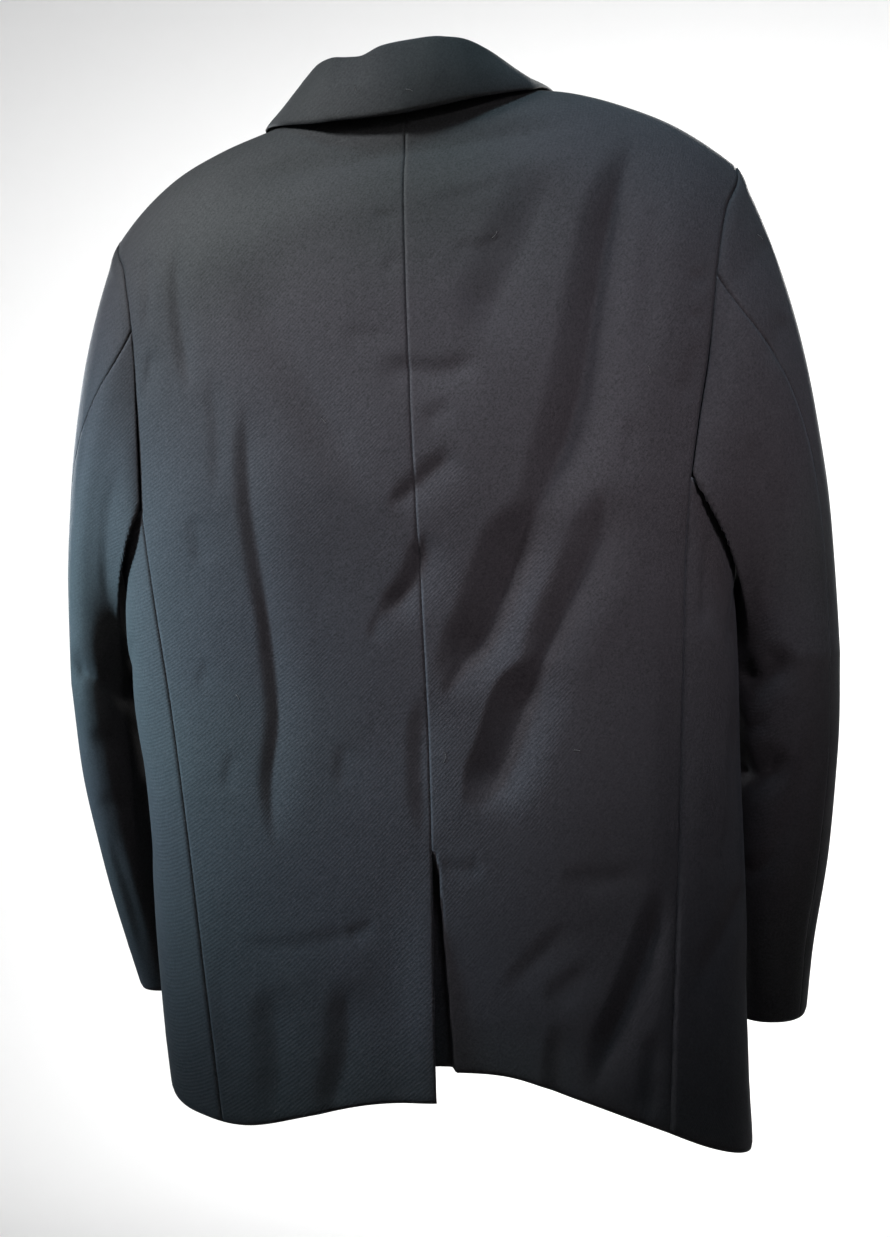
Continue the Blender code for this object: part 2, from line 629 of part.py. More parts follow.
def laid_on_wall(place, side):
    """The place, lifted off the torso's wall where it would come too close to it."""
    x, y, z = place
    face = "back" if y > 0 else "front"
    on_wall = wall(np.array(abs(x)), np.array(z), side, face)[1]
    if abs(y) > COLLAR_STEEP_Y and z < ridge_height(abs(x), side) - COLLAR_BELOW_RIDGE:
        y = math.copysign(max(abs(y), abs(on_wall) + COLLAR_LIFT * LAYER), y)
    else:
        z = max(z, shoulder_top(abs(x), y, side) + COLLAR_LIFT * LAYER)
    return np.array([x, y, z])


def collar_seam(around, side):
    """The neck seam: along the back's neckline to the shoulder, then down the front's edge to the gorge."""
    if around <= 1:
        x = NECK_HALF * around
        return wall(np.array(x), neckline_or_ridge(np.array(x), side) + COLLAR_SEAM_GAP, side, "back")
    z = blend(ridge_height(NECK_HALF, side), GORGE_Z, (around - 1) ** 2)
    return wall(front_inner_x(z) - COLLAR_SEAM_GAP, z, side, "front")


def collar_section(around, side):
    """The collar's section at one place round the neck: up inside, over the fold, down to the edge."""
    rows = COLLAR_ROWS[side]
    seam = collar_seam(around, side)
    fold = points(*(column(rows, name, around) for name in ("fold_x", "fold_y", "fold_z")))
    edge = points(*(column(rows, name, around) for name in ("edge_x", "edge_y", "edge_z")))
    fold[0] *= side
    edge[0] *= side
    outwards = edge - seam
    outwards[2] = 0
    outwards /= np.linalg.norm(outwards)
    up = points(0, 0, 1.0)
    inside = [blend(seam, fold, share) for share in COLLAR_INSIDE_SHARES]
    over = [fold, fold + outwards * COLLAR_TURN + up * COLLAR_TURN_HIGH, fold + outwards * COLLAR_TURN_OVER]
    outside = [
        blend(over[-1], edge, share) + outwards * COLLAR_BULGE * math.sin(math.pi * share)
        for share in COLLAR_OUTSIDE_SHARES
    ]
    if around == 2:
        notch = points(NOTCH_X * side, edge[1], NOTCH_Z)
        outside = [blend(over[-1], notch, share) for share in COLLAR_NOTCH_SHARES] + [edge]
    return np.array(inside + over + [laid_on_wall(place, side) for place in outside])


def collar_grid(stations=33):
    """The collar round the whole neck, from the right front's gorge to the left one's."""
    at = np.linspace(-2, 2, stations)
    return np.array([collar_section(abs(a), LEFT if a >= 0 else RIGHT) for a in at])


def lapel_grid(side, rows=14, columns=8):
    """The lapel: a tight turn at the front's edge, then a layer that lies on the chest."""
    up = np.linspace(0, 1, rows)
    roll_z = blend(BREAK_Z, LAPEL_TOP_Z, up)
    roll_x = front_inner_x(roll_z)
    below_tip = up <= LAPEL_TIP_SHARE
    edge_z = np.where(below_tip, blend(BREAK_Z, LAPEL_EDGE[-1].z, up / LAPEL_TIP_SHARE), NOTCH_Z - GORGE_GAP)
    edge_x = np.where(below_tip, column(LAPEL_EDGE, "x", edge_z), NOTCH_X - GORGE_GAP)
    across = np.linspace(0, 1, columns)[None, :]
    x = blend(roll_x[:, None], edge_x[:, None] + LAPEL_EDGE_OUT, across)
    z = blend(roll_z[:, None], edge_z[:, None], across)
    flat = front_wall(x, z, side)
    layer = flat.copy()
    sprung = np.exp(-across * LAPEL_SPRING_FADE) * ease((z - LAPEL_SPRING_Z) / LAPEL_SPRING_RUN)
    layer[..., 1] -= LAYER + LAPEL_SPRING * sprung
    turn = flat[:, :1].copy()
    turn[..., 0] -= side * LAPEL_ROLL
    turn[..., 1] -= LAYER / 2
    return np.concatenate([turn, layer], axis=1)


def flap_grid(side, columns=8, rows=4):
    x = np.linspace(FLAP_INNER_X, FLAP_OUTER_X, columns)[None, :]
    down = np.linspace(0, 1, rows)[:, None]
    slant = (x - FLAP_INNER_X) * FLAP_SLANT
    z = FLAP_TOP_Z + slant - FLAP_TALL * down
    x, z = np.broadcast_arrays(x, z)
    return moved_out(front_wall(x, z, side), LAYER + FLAP_FLARE * down + 0 * x)


def welt_grid(columns=6, rows=3):
    x = np.linspace(WELT_INNER_X, WELT_OUTER_X, columns)[None, :]
    up = np.linspace(0, 1, rows)[:, None]
    z = WELT_Z + WELT_TALL * up + (x - WELT_INNER_X) / (WELT_OUTER_X - WELT_INNER_X) * WELT_RISE
    x, z = np.broadcast_arrays(x, z)
    return moved_out(front_wall(x, z, LEFT), np.full(x.shape, LAYER))


def material(name, colour, roughness):
    made = bpy.data.materials.new(name)
    made.use_nodes = True
    surface = made.node_tree.nodes["Principled BSDF"]
    surface.inputs["Base Color"].default_value = (*colour, 1)
    surface.inputs["Roughness"].default_value = roughness
    return made


def cloth(name, grid, collection, keep=None):
    """A flat grid bent to these points and thickened evenly to both sides."""
    rows, columns = grid.shape[:2]
    bm = bmesh.new()
    bmesh.ops.create_grid(bm, x_segments=columns - 1, y_segments=rows - 1, size=0.5)
    unused = []
    for vertex in bm.verts:
        c = round((vertex.co.x + 0.5) * (columns - 1))
        r = round((vertex.co.y + 0.5) * (rows - 1))
        vertex.co = grid[r, c] * CM
        if keep is not None and not keep[r, c]:
            unused.append(vertex)
    bmesh.ops.delete(bm, geom=unused, context="VERTS")
    mesh = bpy.data.meshes.new(name)
    bm.to_mesh(mesh)
    bm.free()
    obj = bpy.data.objects.new(name, mesh)
    collection.objects.link(obj)
    mesh.materials.append(material(name, WOOL_COLOUR, WOOL_ROUGHNESS))
    thick = obj.modifiers.new("Thickness", "SOLIDIFY")
    thick.thickness = CLOTH * CM
    thick.offset = 0
    mesh.shade_smooth()
    return obj


def back_right_with_vent():
    """The right back and its underlap as one grid, with no points inside the seam above the vent."""
    back = pulled_in(back_grid(RIGHT), first_row=False)
    flap = vent_grid(RIGHT)[:, ::-1]
    spare = np.repeat(back[:, :1], flap.shape[1], axis=1)
    spare[: len(flap)] = flap
    keep = np.ones((len(back), flap.shape[1] + back.shape[1]), bool)
    keep[len(flap) :, : flap.shape[1]] = False
    return np.concatenate([spare, back], axis=1), keep


def button(name, z, collection, cutters):
    """A turned button with a raised rim and four holes, on the outer face of the front it is sewn to."""
    seat = wall(np.array(0.0), np.array(z), LEFT, "front")
    out = seat[1] - STEP_OUT - CLOTH / 2 - BUTTON_SEAT
    mesh = bpy.data.meshes.new(name)
    bm = bmesh.new()
    ring = [bm.verts.new((r * BUTTON_RADIUS * CM, 0, -h * CM)) for r, h in BUTTON_PROFILE]
    for a, b in zip(ring, ring[1:]):
        bm.edges.new((a, b))
    bm.to_mesh(mesh)
    bm.free()
    obj = bpy.data.objects.new(name, mesh)
    collection.objects.link(obj)
    mesh.materials.append(material(name, HORN_COLOUR, HORN_ROUGHNESS))
    obj.location = (0, (out - BUTTON_THICK) * CM, z * CM)
    obj.rotation_euler = (math.radians(90), 0, 0)
    turned = obj.modifiers.new("Turn", "SCREW")
    turned.steps = turned.render_steps = BUTTON_STEPS
    turned.use_merge_vertices = True
    turned.merge_threshold = 0.00005
    for k in range(BUTTON_HOLES):
        turn = math.radians(45 + 360 / BUTTON_HOLES * k)
        bpy.ops.mesh.primitive_cylinder_add(
            vertices=10,
            radius=BUTTON_HOLE * CM,
            depth=1.0 * CM,
            location=(
                math.cos(turn) * BUTTON_HOLE_OUT * CM,
                (out - BUTTON_THICK / 2) * CM,
                (z + math.sin(turn) * BUTTON_HOLE_OUT) * CM,
            ),
            rotation=(math.radians(90), 0, 0),
        )
        cutter = bpy.context.object
        cutter.name = f"{name}_hole_{k}"
        cutter.display_type = "WIRE"
        cutter.hide_render = True
        for home in cutter.users_collection:
            home.objects.unlink(cutter)
        cutters.objects.link(cutter)
        cut = obj.modifiers.new(f"Hole {k}", "BOOLEAN")
        cut.operation = "DIFFERENCE"
        cut.object = cutter
    return obj


def build():
    for obj in list(bpy.data.objects):
        bpy.data.objects.remove(obj, do_unlink=True)
    blazer = bpy.data.collections.new("blazer")
    cutters = bpy.data.collections.new("cutters")
    for made in (blazer, cutters):
        bpy.context.scene.collection.children.link(made)
    cloth("back_left", pulled_in(back_grid(LEFT), first_row=False), blazer)
    grid, keep = back_right_with_vent()
    cloth("back_right", grid, blazer, keep)
    for word, side in SIDES.items():
        cloth(f"side_{word}", pulled_in(side_grid(side), first_row=False), blazer)
        cloth(f"front_{word}", pulled_in(front_grid(side), first_row=False), blazer)
        cloth(f"lapel_{word}", lapel_grid(side), blazer)
        for which in ("top", "under"):
            grid = pulled_in(sleeve_grid(side, which), last_row=False)
            cloth(f"{which}_sleeve_{word}", grid, blazer)
        cloth(f"pocket_flap_{word}", flap_grid(side), blazer)
    cloth("collar", collar_grid(), blazer)
    cloth("breast_welt", welt_grid(), blazer)
    for name, z in BUTTON_HEIGHTS.items():
        button(name, z, blazer, cutters)


build()
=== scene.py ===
"""The looks of a single-breasted blazer in dark worsted wool, in its worn shape.

It is laid out as an add-on and run as a script. Sizes in the tables are in centimetres, in the frame of
the garment: +X is its left side, -Y its front and +Z up, from the height of the nape.
"""

import json
import math
from collections import namedtuple

import bmesh
import bpy
import numpy as np
from bpy.props import FloatProperty, FloatVectorProperty, PointerProperty
from mathutils import Matrix, Vector

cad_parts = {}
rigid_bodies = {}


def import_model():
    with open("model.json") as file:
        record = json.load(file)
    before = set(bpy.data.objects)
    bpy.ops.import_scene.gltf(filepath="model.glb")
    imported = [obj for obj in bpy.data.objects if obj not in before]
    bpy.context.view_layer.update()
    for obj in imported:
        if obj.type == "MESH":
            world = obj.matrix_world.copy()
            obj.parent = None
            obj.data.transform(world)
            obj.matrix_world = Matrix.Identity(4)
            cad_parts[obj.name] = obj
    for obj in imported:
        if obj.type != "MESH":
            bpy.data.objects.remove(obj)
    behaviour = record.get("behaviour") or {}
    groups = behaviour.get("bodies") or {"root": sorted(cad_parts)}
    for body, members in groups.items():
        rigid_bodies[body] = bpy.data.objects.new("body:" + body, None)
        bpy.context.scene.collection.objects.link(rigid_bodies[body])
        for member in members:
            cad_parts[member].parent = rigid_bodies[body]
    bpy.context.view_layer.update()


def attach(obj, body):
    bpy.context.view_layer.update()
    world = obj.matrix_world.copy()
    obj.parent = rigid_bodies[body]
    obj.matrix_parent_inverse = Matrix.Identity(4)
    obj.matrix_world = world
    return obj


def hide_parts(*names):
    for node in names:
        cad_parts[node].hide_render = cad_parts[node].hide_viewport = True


bl_info = {
    "name": "Blazer",
    "version": (1, 0, 0),
    "blender": (4, 5, 0),
    "location": "3D View > Sidebar > Blazer",
    "description": "Builds a dark worsted blazer, piece by piece, on its packed solids",
    "category": "Object",
}

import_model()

CM = 0.01
NO_LENGTH, NO_WIDTH = 1e-9, 1e-6
LEFT, RIGHT = 1, -1
SIDES = {"left": LEFT, "right": RIGHT}

CLOTH = 0.16
SEAM_GAP = 0.015
LAYER = 0.27

# The torso's walls are rings round the body, each a superellipse with its own widths and depths.
Ring = namedtuple("Ring", "z left right back front")
TORSO = (
    Ring(-82, 23.2, 22, 11.2, 10.8),
    Ring(-76, 23.6, 22.1, 11.1, 10.7),
    Ring(-67, 24.4, 22.3, 10.7, 10.4),
    Ring(-53, 24.9, 22.5, 9.9, 10),
    Ring(-43, 25.7, 22.6, 9.6, 9.9),
    Ring(-36, 26.2, 22.8, 10.1, 10.4),
    Ring(-28, 25.9, 23.3, 10.9, 11),
    Ring(-17, 26, 24.8, 11, 10.6),
    Ring(-5, 27, 25.8, 9.8, 9.4),
    Ring(6, 27, 25.8, 8.6, 8.6),
)
SQUARENESS = 2.35
RING_LIMIT, RING_SHARES = 0.9995, (-0.5, 0.999)

# The shoulders' ridge, from the middle of the neck to past the sleeves' seams.
Ridge = namedtuple("Ridge", "x left right")
SHOULDERS = (
    Ridge(0, 4.6, 4.6),
    Ridge(8, 2.7, 2.9),
    Ridge(12, 1.6, 2.2),
    Ridge(16, 0.4, 0.8),
    Ridge(20, -1.4, -1.2),
    Ridge(23, -3.6, -3.4),
    Ridge(26, -6.5, -6.1),
)
ROLL_HEIGHT = 12.0
NECK_HALF = 8.3
NAPE_Z = 0.3
NECKLINE_CURVE = 2.4

# Seam lines, each by its distance from the middle of the body.
Seam = namedtuple("Seam", "z left right")
CENTRE_BACK = (Seam(-76, 0.4, -0.4), Seam(-55, 0.15, -0.15), Seam(-28, 0.05, -0.05), Seam(1, 0.0, 0.0))
SIDE_BACK = (
    Seam(-82, 16.8, 15.5),
    Seam(-71, 17.8, 16.3),
    Seam(-57, 19.3, 17.4),
    Seam(-43, 20.8, 18.4),
    Seam(-33, 21.9, 19.1),
    Seam(-28.5, 22.4, 19.6),
)
SIDE_FRONT = (
    Seam(-82, 18.8, 17.6),
    Seam(-57, 19.6, 18),
    Seam(-43, 20, 18.4),
    Seam(-28.5, 20.4, 18.9),
)
ARMHOLE_BACK = (
    Seam(-28.5, 22.4, 19.6),
    Seam(-24, 22.3, 20.4),
    Seam(-20, 22.3, 21.2),
    Seam(-16, 22.4, 21.8),
    Seam(-12, 22.9, 22.4),
    Seam(-8, 24.1, 23.3),
    Seam(-5.5, 25.2, 24.2),
)
ARMHOLE_FRONT = (
    Seam(-28.5, 20.4, 18.9),
    Seam(-23, 19.6, 18.4),
    Seam(-17, 19.9, 18.9),
    Seam(-12, 21.4, 20.5),
    Seam(-8, 23.4, 22.6),
    Seam(-5.5, 25.2, 24.2),
)
SIDE_SEAMS = {"back": SIDE_BACK, "front": SIDE_FRONT}
ARMHOLES = {"back": ARMHOLE_BACK, "front": ARMHOLE_FRONT}
ARMHOLE_BASE = -28.5
TIP_X = {LEFT: 25.2, RIGHT: 24.2}
UNDERARM_SCOOP, SCOOP_SQUARE = 2.3, 0.9
TIP_TURN = 6.0
FOLD_FADE, RIDGE_FADE = 1.8, 3.0

# The vent: its top, how far down it opens, and how far the underlap runs behind the left panel.
VENT_TOP_Z, VENT_OPENING = -54.5, 3.0
VENT_STEPS = (0.3, 0.7, 1.1, 1.5, 1.9, 2.3, 2.7, 3.1, 3.5, 3.8)
VENT_DEPTH, VENT_DIP_WIDE, VENT_SLIT_WIDE, VENT_DIP_SHARE, VENT_TALL = 1.3, 1.7, 0.35, 0.45, 20.0

# The hem's height round the body: 0 degrees is the centre back and 180 the front edge.
Hem = namedtuple("Hem", "angle left right")
HEM = (
    Hem(-4, -72.5, -70.5),
    Hem(10, -73, -71),
    Hem(20, -73.9, -72.4),
    Hem(36, -75.2, -74.7),
    Hem(55, -75.1, -77.2),
    Hem(90, -74.2, -79.5),
    Hem(120, -75.2, -79.4),
    Hem(150, -76.6, -78.6),
    Hem(180, -77.4, -78.4),
)
HEM_MIDDLE_Z, HEM_FRONT_ANGLE = -76, 165

# The front edge: the rounded corner at the hem, the overlap at the buttons, then the roll line to the neck.
Edge = namedtuple("Edge", "z x")
FRONT_EDGE = (
    Edge(-79, 9.5),
    Edge(-76.5, 5.6),
    Edge(-73, 2.9),
    Edge(-67, 0.9),
    Edge(-60, -0.7),
    Edge(-53, -1.7),
    Edge(-42, -1.9),
    Edge(-37, -0.6),
    Edge(-28.5, 1.6),
    Edge(-10, 6.1),
    Edge(-3, 7.7),
    Edge(2.5, 8.3),
)
BREAK_Z = -41.0
STEP_IN, STEP_OUT = 0.42, 0.15
STEP_TO_X, STEP_WIDE = 7.0, 4.0
OVERLAP_TOP_Z, OVERLAP_FADE = -30.0, 6.0
FRONT_ROW_SPREAD, FRONT_SLACK_START = 1.25, 40

# The sleeves below the arm: rings with a middle, half sizes across and from back to front, by height.
Arm = namedtuple("Arm", "z out y across deep")
SLEEVE_LEFT = (
    Arm(-69, 27.2, -9.9, 2.8, 4.9),
    Arm(-66, 27.6, -9.2, 2.9, 5.1),
    Arm(-58, 28.5, -7.3, 3.2, 5.6),
    Arm(-50, 29.1, -5.8, 3.3, 6.1),
    Arm(-42, 29.3, -4.4, 3.05, 6.6),
)
SLEEVE_RIGHT = (
    Arm(-71.7, 24.4, -9.8, 3, 4.8),
    Arm(-66, 24.8, -8.7, 3.3, 5.1),
    Arm(-58, 25.55, -7, 3.95, 5.6),
    Arm(-50, 26.3, -5.7, 4.1, 6.1),
    Arm(-42, 26.65, -4.6, 4.1, 6.6),
)
SLEEVE_ROWS = {LEFT: SLEEVE_LEFT, RIGHT: SLEEVE_RIGHT}
SLEEVE_HEAD_OUT = 0.05
UNDERARM_OUT, UNDERARM_GAIN = 0.2, 2

# Angles round the sleeve: 0 faces back, 90 outwards, 180 to the front and 270 to the body.
TIP_ANGLE, BACK_SEAM_ANGLE, FRONT_SEAM_ANGLE = 90.0, -44.0, 230.0
HINDARM_TOP, HINDARM_LOW = 8.0, {LEFT: 52.0, RIGHT: 44.0}
FOREARM = 204.0
CAP_SHARE, CAP_ROUNDING, SLEEVE_SQUARENESS = 0.55, 1.9, 2.2
SEAM_SWING_SHARE = 0.36
CAP_SLOPE, CAP_SLOPE_TOP = 0.55, 0.1

# The collar's fold and outer edge. Around counts 0 at the centre back, 1 on the shoulder, 2 at the gorge.
Collar = namedtuple("Collar", "around fold_x fold_y fold_z edge_x edge_y edge_z")
COLLAR_LEFT = (
    Collar(0, 0, 7.4, 4.6, 0, 8.75, -0.95),
    Collar(0.22, 1.7, 7.25, 4.45, 1.9, 8.6, -0.95),
    Collar(0.42, 3.2, 6.85, 4.05, 3.7, 8.2, -0.82),
    Collar(0.55, 4.3, 6.3, 4.3, 5, 7.9, -0.65),
    Collar(0.72, 5.7, 5.4, 4.75, 7, 7.25, -0.35),
    Collar(0.9, 7.3, 2.9, 5.2, 10.3, 4.7, 0.8),
    Collar(1.1, 8.1, -0.9, 4.9, 12.7, 0.7, 2.1),
    Collar(1.45, 8.3, -4.2, 3.2, 12.3, -3.9, 0.5),
    Collar(1.72, 8, -6.3, 0.4, 12.7, -6.6, -2.8),
    Collar(2, 7.6, -8.45, -3.4, 13.9, -8.2, -6.2),
)
COLLAR_RIGHT = (
    Collar(0, 0, 7.4, 4.6, 0, 8.75, -0.95),
    Collar(0.4, 3.1, 7, 4.75, 3.2, 8, -0.35),
    Collar(0.72, 5.4, 5.2, 4.6, 6.3, 6.7, 0.6),
    Collar(0.9, 7.1, 2.8, 3.9, 8.9, 4.6, 1.6),
    Collar(1.1, 7.9, -0.9, 3.9, 10.4, 0.4, 2.9),
    Collar(1.45, 8.2, -4.2, 3, 11.6, -3.9, 0.7),
    Collar(1.72, 8, -6.3, 0.4, 12.5, -6.6, -2.8),
    Collar(2, 7.6, -8.45, -3.4, 13.9, -8.2, -6.2),
)
COLLAR_END = 2
COLLAR_ROWS = {LEFT: COLLAR_LEFT, RIGHT: COLLAR_RIGHT}
GORGE_Z, NOTCH_X, NOTCH_Z = -3.9, 11.5, -7.9
COLLAR_SEAM_GAP, COLLAR_LIFT, COLLAR_BULGE = 0.16, 1.4, 0.35
COLLAR_TURN, COLLAR_TURN_HIGH, COLLAR_TURN_OVER = 0.35, 0.22, 0.8
COLLAR_STEEP_Y, COLLAR_BELOW_RIDGE = 4.0, 1.0
COLLAR_INSIDE_SHARES, COLLAR_OUTSIDE_SHARES = (0.0, 0.35, 0.7), (0.25, 0.5, 0.75, 1.0)
COLLAR_NOTCH_SHARES = (0.3, 0.65, 1.0)
COLLAR_SMOOTH_WIDE, COLLAR_SMOOTHINGS = 0.22, 10
COLLAR_STAND, COLLAR_STAND_END, COLLAR_STAND_FADE = 0.55, 0.95, 0.5

# The turned-back part of each front: its outer edge, from the top button to the notch.
LAPEL_EDGE = (
    Edge(-41, -1.9),
    Edge(-36, 3),
    Edge(-28, 8),
    Edge(-19, 11.7),
    Edge(-9.2, 15),
)
LAPEL_TOP_Z, GORGE_GAP, LAPEL_TIP_SHARE, LAPEL_EDGE_OUT = -4.15, 0.25, 0.9, 0.15
LAPEL_SPRING, LAPEL_SPRING_FADE, LAPEL_SPRING_Z, LAPEL_SPRING_RUN = 0.14, 5.0, -33.0, 4.0
LAPEL_TURN_ANGLES, LAPEL_TURN_OUT, LAPEL_TURN_DEEP = (-60, 70, 7), 0.6, 0.5

# Folds and creases. The line is the bottom of the fold, in centimetres. Looking along it on a picture of
# the garment, the steep side lies to the right, as wide as given, and the gentle return to the left.
# Sharp is 1 where the steep side ends in a sharp valley, 0 where it is soft and -1 where its crest is sharp.
Fold = namedtuple("Fold", "line wide depth sharp back")
BACK_FOLDS = (
    # The long drag from the right shoulder to the small of the back.
    Fold(
        ((-17, -2.4), (-14.9, -8.5), (-13.3, -15.5), (-11.7, -22.8), (-9.7, -28), (-7, -33)),
        2.5, 1.20, 0.8, 6.0,
    ),
    Fold(((-8.4, -29.5), (-6.2, -35), (-4.2, -39.4), (-1, -43)), 3, 1, 0.4, 4),
    Fold(((-7, -32.6), (-5.9, -35), (-5.2, -37.4)), 0.7, 0.12, 0.5, 1.7),
    Fold(((-2.6, -41.4), (-1.2, -43.6)), 0.8, 0.14, 0.6, 2.3),
    # The soft shade beside it, off the right shoulder blade.
    Fold(((-11.2, -5), (-8.6, -11), (-6.4, -15.5), (-5.2, -19.4)), 3.4, 0.45, 0, 5),
    Fold(((-7.4, -10.6), (-5, -11.6), (-3.2, -11.2)), 1, 0.1, 0.4, 2.7),
    # The second drag, with its crest sharp lower down.
    Fold(((-13.6, -28.6), (-12.2, -33.4), (-9.6, -38.6), (-7.4, -43.4)), 2.1, 0.64, 0.6, 3.6),
    Fold(((-8.8, -41), (-6.8, -44.6), (-5.4, -48.3), (-3.2, -52.6)), 2.4, 0.82, -0.8, 3.6),
    Fold(((-9.2, -39.4), (-7.2, -42.8), (-5.7, -45.8)), 0.6, 0.12, 0.5, 1.7),
    # Creases that cross the centre seam.
    Fold(((-5.4, -19.4), (-2.6, -20.3), (0.2, -20), (2.4, -19.2)), 1.3, 0.24, 0.3, 2.5),
    Fold(((-3.2, -22.6), (-0.6, -23.7)), 0.7, 0.12, 0.3, 1.7),
    Fold(((-3.4, -25.8), (-0.6, -27.8), (2.2, -30)), 1.1, 0.28, 0.4, 2.7),
    Fold(((-0.6, -31.4), (0.5, -34.8), (3.4, -37.9)), 1.3, 0.36, 0.6, 3),
    Fold(((3.2, -37.2), (4, -39.4)), 0.6, 0.08, 0, 1.7),
    Fold(((0.2, -8.8), (2.4, -8.4)), 0.6, 0.07, 0.2, 1.5),
    Fold(((0.2, -11.6), (2, -13)), 0.7, 0.08, 0.2, 1.5),
    Fold(((0.9, -17.4), (4.8, -17)), 0.7, 0.08, 0.2, 1.7),
    Fold(((0.3, -43), (0.8, -49), (0.5, -54.4)), 1.3, 0.22, 0.3, 3),
    # The left half: soft shade off the shoulder blade, and the long upright fold.
    Fold(((13.8, -10.5), (10.9, -14.5), (8.1, -19.2), (5.6, -24.2), (3, -29.2)), 3.4, 0.36, 0, 5),
    Fold(((12.6, -20.6), (12.7, -28.6), (12.2, -34.6), (11.9, -39.7)), 1.3, 0.34, 0.4, 3.2),
    Fold(((12.3, -34.2), (11.8, -40.6), (11.7, -45.2), (12.4, -49.6), (12, -55.4)), 1.2, 0.36, 0.6, 3.4),
    Fold(((15.4, -18.4), (14.9, -24), (15.3, -28.4)), 1.2, 0.12, 0, 2),
    Fold(((17.4, -29), (17, -33.4)), 1.2, 0.1, 0, 3.4),
    Fold(((6.4, -46.6), (6.8, -50.4)), 1, 0.08, 0, 3),
    Fold(((16.9, -40.2), (18, -42.6)), 0.8, 0.08, 0, 2),
    Fold(((15.2, -47.2), (16.2, -50.4)), 0.9, 0.09, 0, 2.3),
    # The shoulders.
    Fold(((18.1, -8), (18, -13), (17.6, -16.6), (17.1, -20.4)), 1.2, 0.3, 0.2, 2),
    Fold(((21.1, -8.4), (20.8, -12.5), (21.2, -15.4)), 0.9, 0.2, 0.2, 2.3),
    Fold(((20.5, -16.2), (21.1, -18.4), (21.9, -20.4)), 0.8, 0.2, 0.3, 2),
    Fold(((-22, -13.6), (-20, -14.5)), 0.7, 0.15, 0.2, 1.5),
    Fold(((-21.7, -16.7), (-19.8, -17.2)), 0.6, 0.15, 0.2, 1.3),
    Fold(((-21, -18.8), (-20.2, -21), (-19.4, -23.6)), 1.2, 0.24, 0.2, 2),
    Fold(((-18.6, -7), (-17.4, -14), (-16.8, -21)), 1.4, 0.1, 0, 2.4),
    Fold(((-15.6, -24), (-15.2, -28.6)), 0.9, 0.08, 0, 3),
    # The slack below the collar, and the shade under the collar's edge.
    Fold(
        ((-14.6, -1.5), (-10, -2.7), (-5, -3.3), (0.3, -3.8), (5, -4.1), (10.2, -4), (15.6, -3.5)),
        2.4, 0.55, 0.1, 4.2,
    ),
    Fold(((-9.8, 1), (-4.7, -0.3), (0.4, -1.4), (4.3, -1.7), (10.4, 0)), 0.9, 0.26, 0.7, 2.7),
    Fold(((-10.4, -5.4), (-5.4, -7.4), (-1.4, -7.8)), 0.9, 0.08, 0, 2.7),
    # The skirt.
    Fold(((13.1, -64.4), (12.4, -69.4), (12.9, -75)), 2.6, 0.32, 0, 3.4),
    Fold(((7.2, -63.8), (6.9, -68.4), (7.8, -72), (8.8, -75)), 2.2, 0.34, 0.2, 4),
    Fold(((4.6, -60.6), (7.6, -61.2), (11.4, -61.9), (16.2, -61.8)), 1.3, 0.11, 0, 2.6),
    Fold(((4.4, -60), (6.8, -60.9)), 0.8, 0.1, 0.2, 1.7),
    Fold(((17.4, -62.5), (17.9, -70), (18.6, -76)), 1, 0.14, 0, 2.7),
    Fold(((-16.2, -57.6), (-15.3, -61.6), (-13.8, -65.2), (-11.9, -69), (-10.6, -72.6)), 1.7, 0.62, 0.6, 3),
    Fold(((-9.8, -60.2), (-6.8, -63.1), (-4.6, -65)), 1.3, 0.1, 0, 2.5),
    Fold(((-11.2, -63.2), (-7.6, -65.9)), 1.3, 0.1, 0, 2.5),
    Fold(((-15, -56.9), (-11.2, -57.4), (-9, -56.6)), 1.4, 0.1, 0, 2.4),
    Fold(((-3.8, -56), (-1.6, -56.2), (-0.2, -55.4)), 1, 0.1, 0.3, 1.7),
    Fold(((-8.6, -67), (-7.8, -74)), 1.2, 0.14, 0, 3),
    Fold(((-15.4, -68), (-14.6, -75)), 1.4, 0.2, 0, 3.4),
)

# The fronts' folds, as seen on the left front and mirrored on the right one.
FRONT_FOLDS = (
    Fold(((14.6, -6.6), (13.2, -13), (11.4, -22), (10.4, -32)), 2.2, 0.26, 0, 3.6),
    Fold(((16.2, -31), (11, -36.2), (6.4, -39.6), (2.8, -41.4)), 1.6, 0.3, 0.4, 2.4),
    Fold(((14.8, -37), (9.6, -42), (4.4, -44.8)), 1.3, 0.2, 0.2, 2),
    Fold(((12.4, -57.2), (13.2, -66), (13, -75.6)), 1.8, 0.26, 0, 2.4),
    Fold(((18, -11), (17.8, -18.4), (17, -26.4)), 1.1, 0.22, 0.2, 3.4),
    Fold(((19.6, -14.4), (19.2, -19.6), (18.2, -24.8)), 0.8, 0.16, 0.2, 2.3),
    Fold(((16.8, -26.6), (13, -30.2), (10, -34)), 1, 0.15, 0.3, 2.7),
    Fold(((12.4, -44.4), (8.2, -47), (4, -48.2)), 0.9, 0.12, 0, 2.3),
    Fold(((17.4, -57), (18, -66), (17.8, -76.6)), 1.2, 0.16, 0, 3),
    Fold(((6.4, -58.4), (6.8, -66), (5.8, -73.2)), 1.3, 0.14, 0, 3.4),
    Fold(((17.2, -40.4), (15.4, -49.2)), 0.8, 0.11, 0, 2),
)

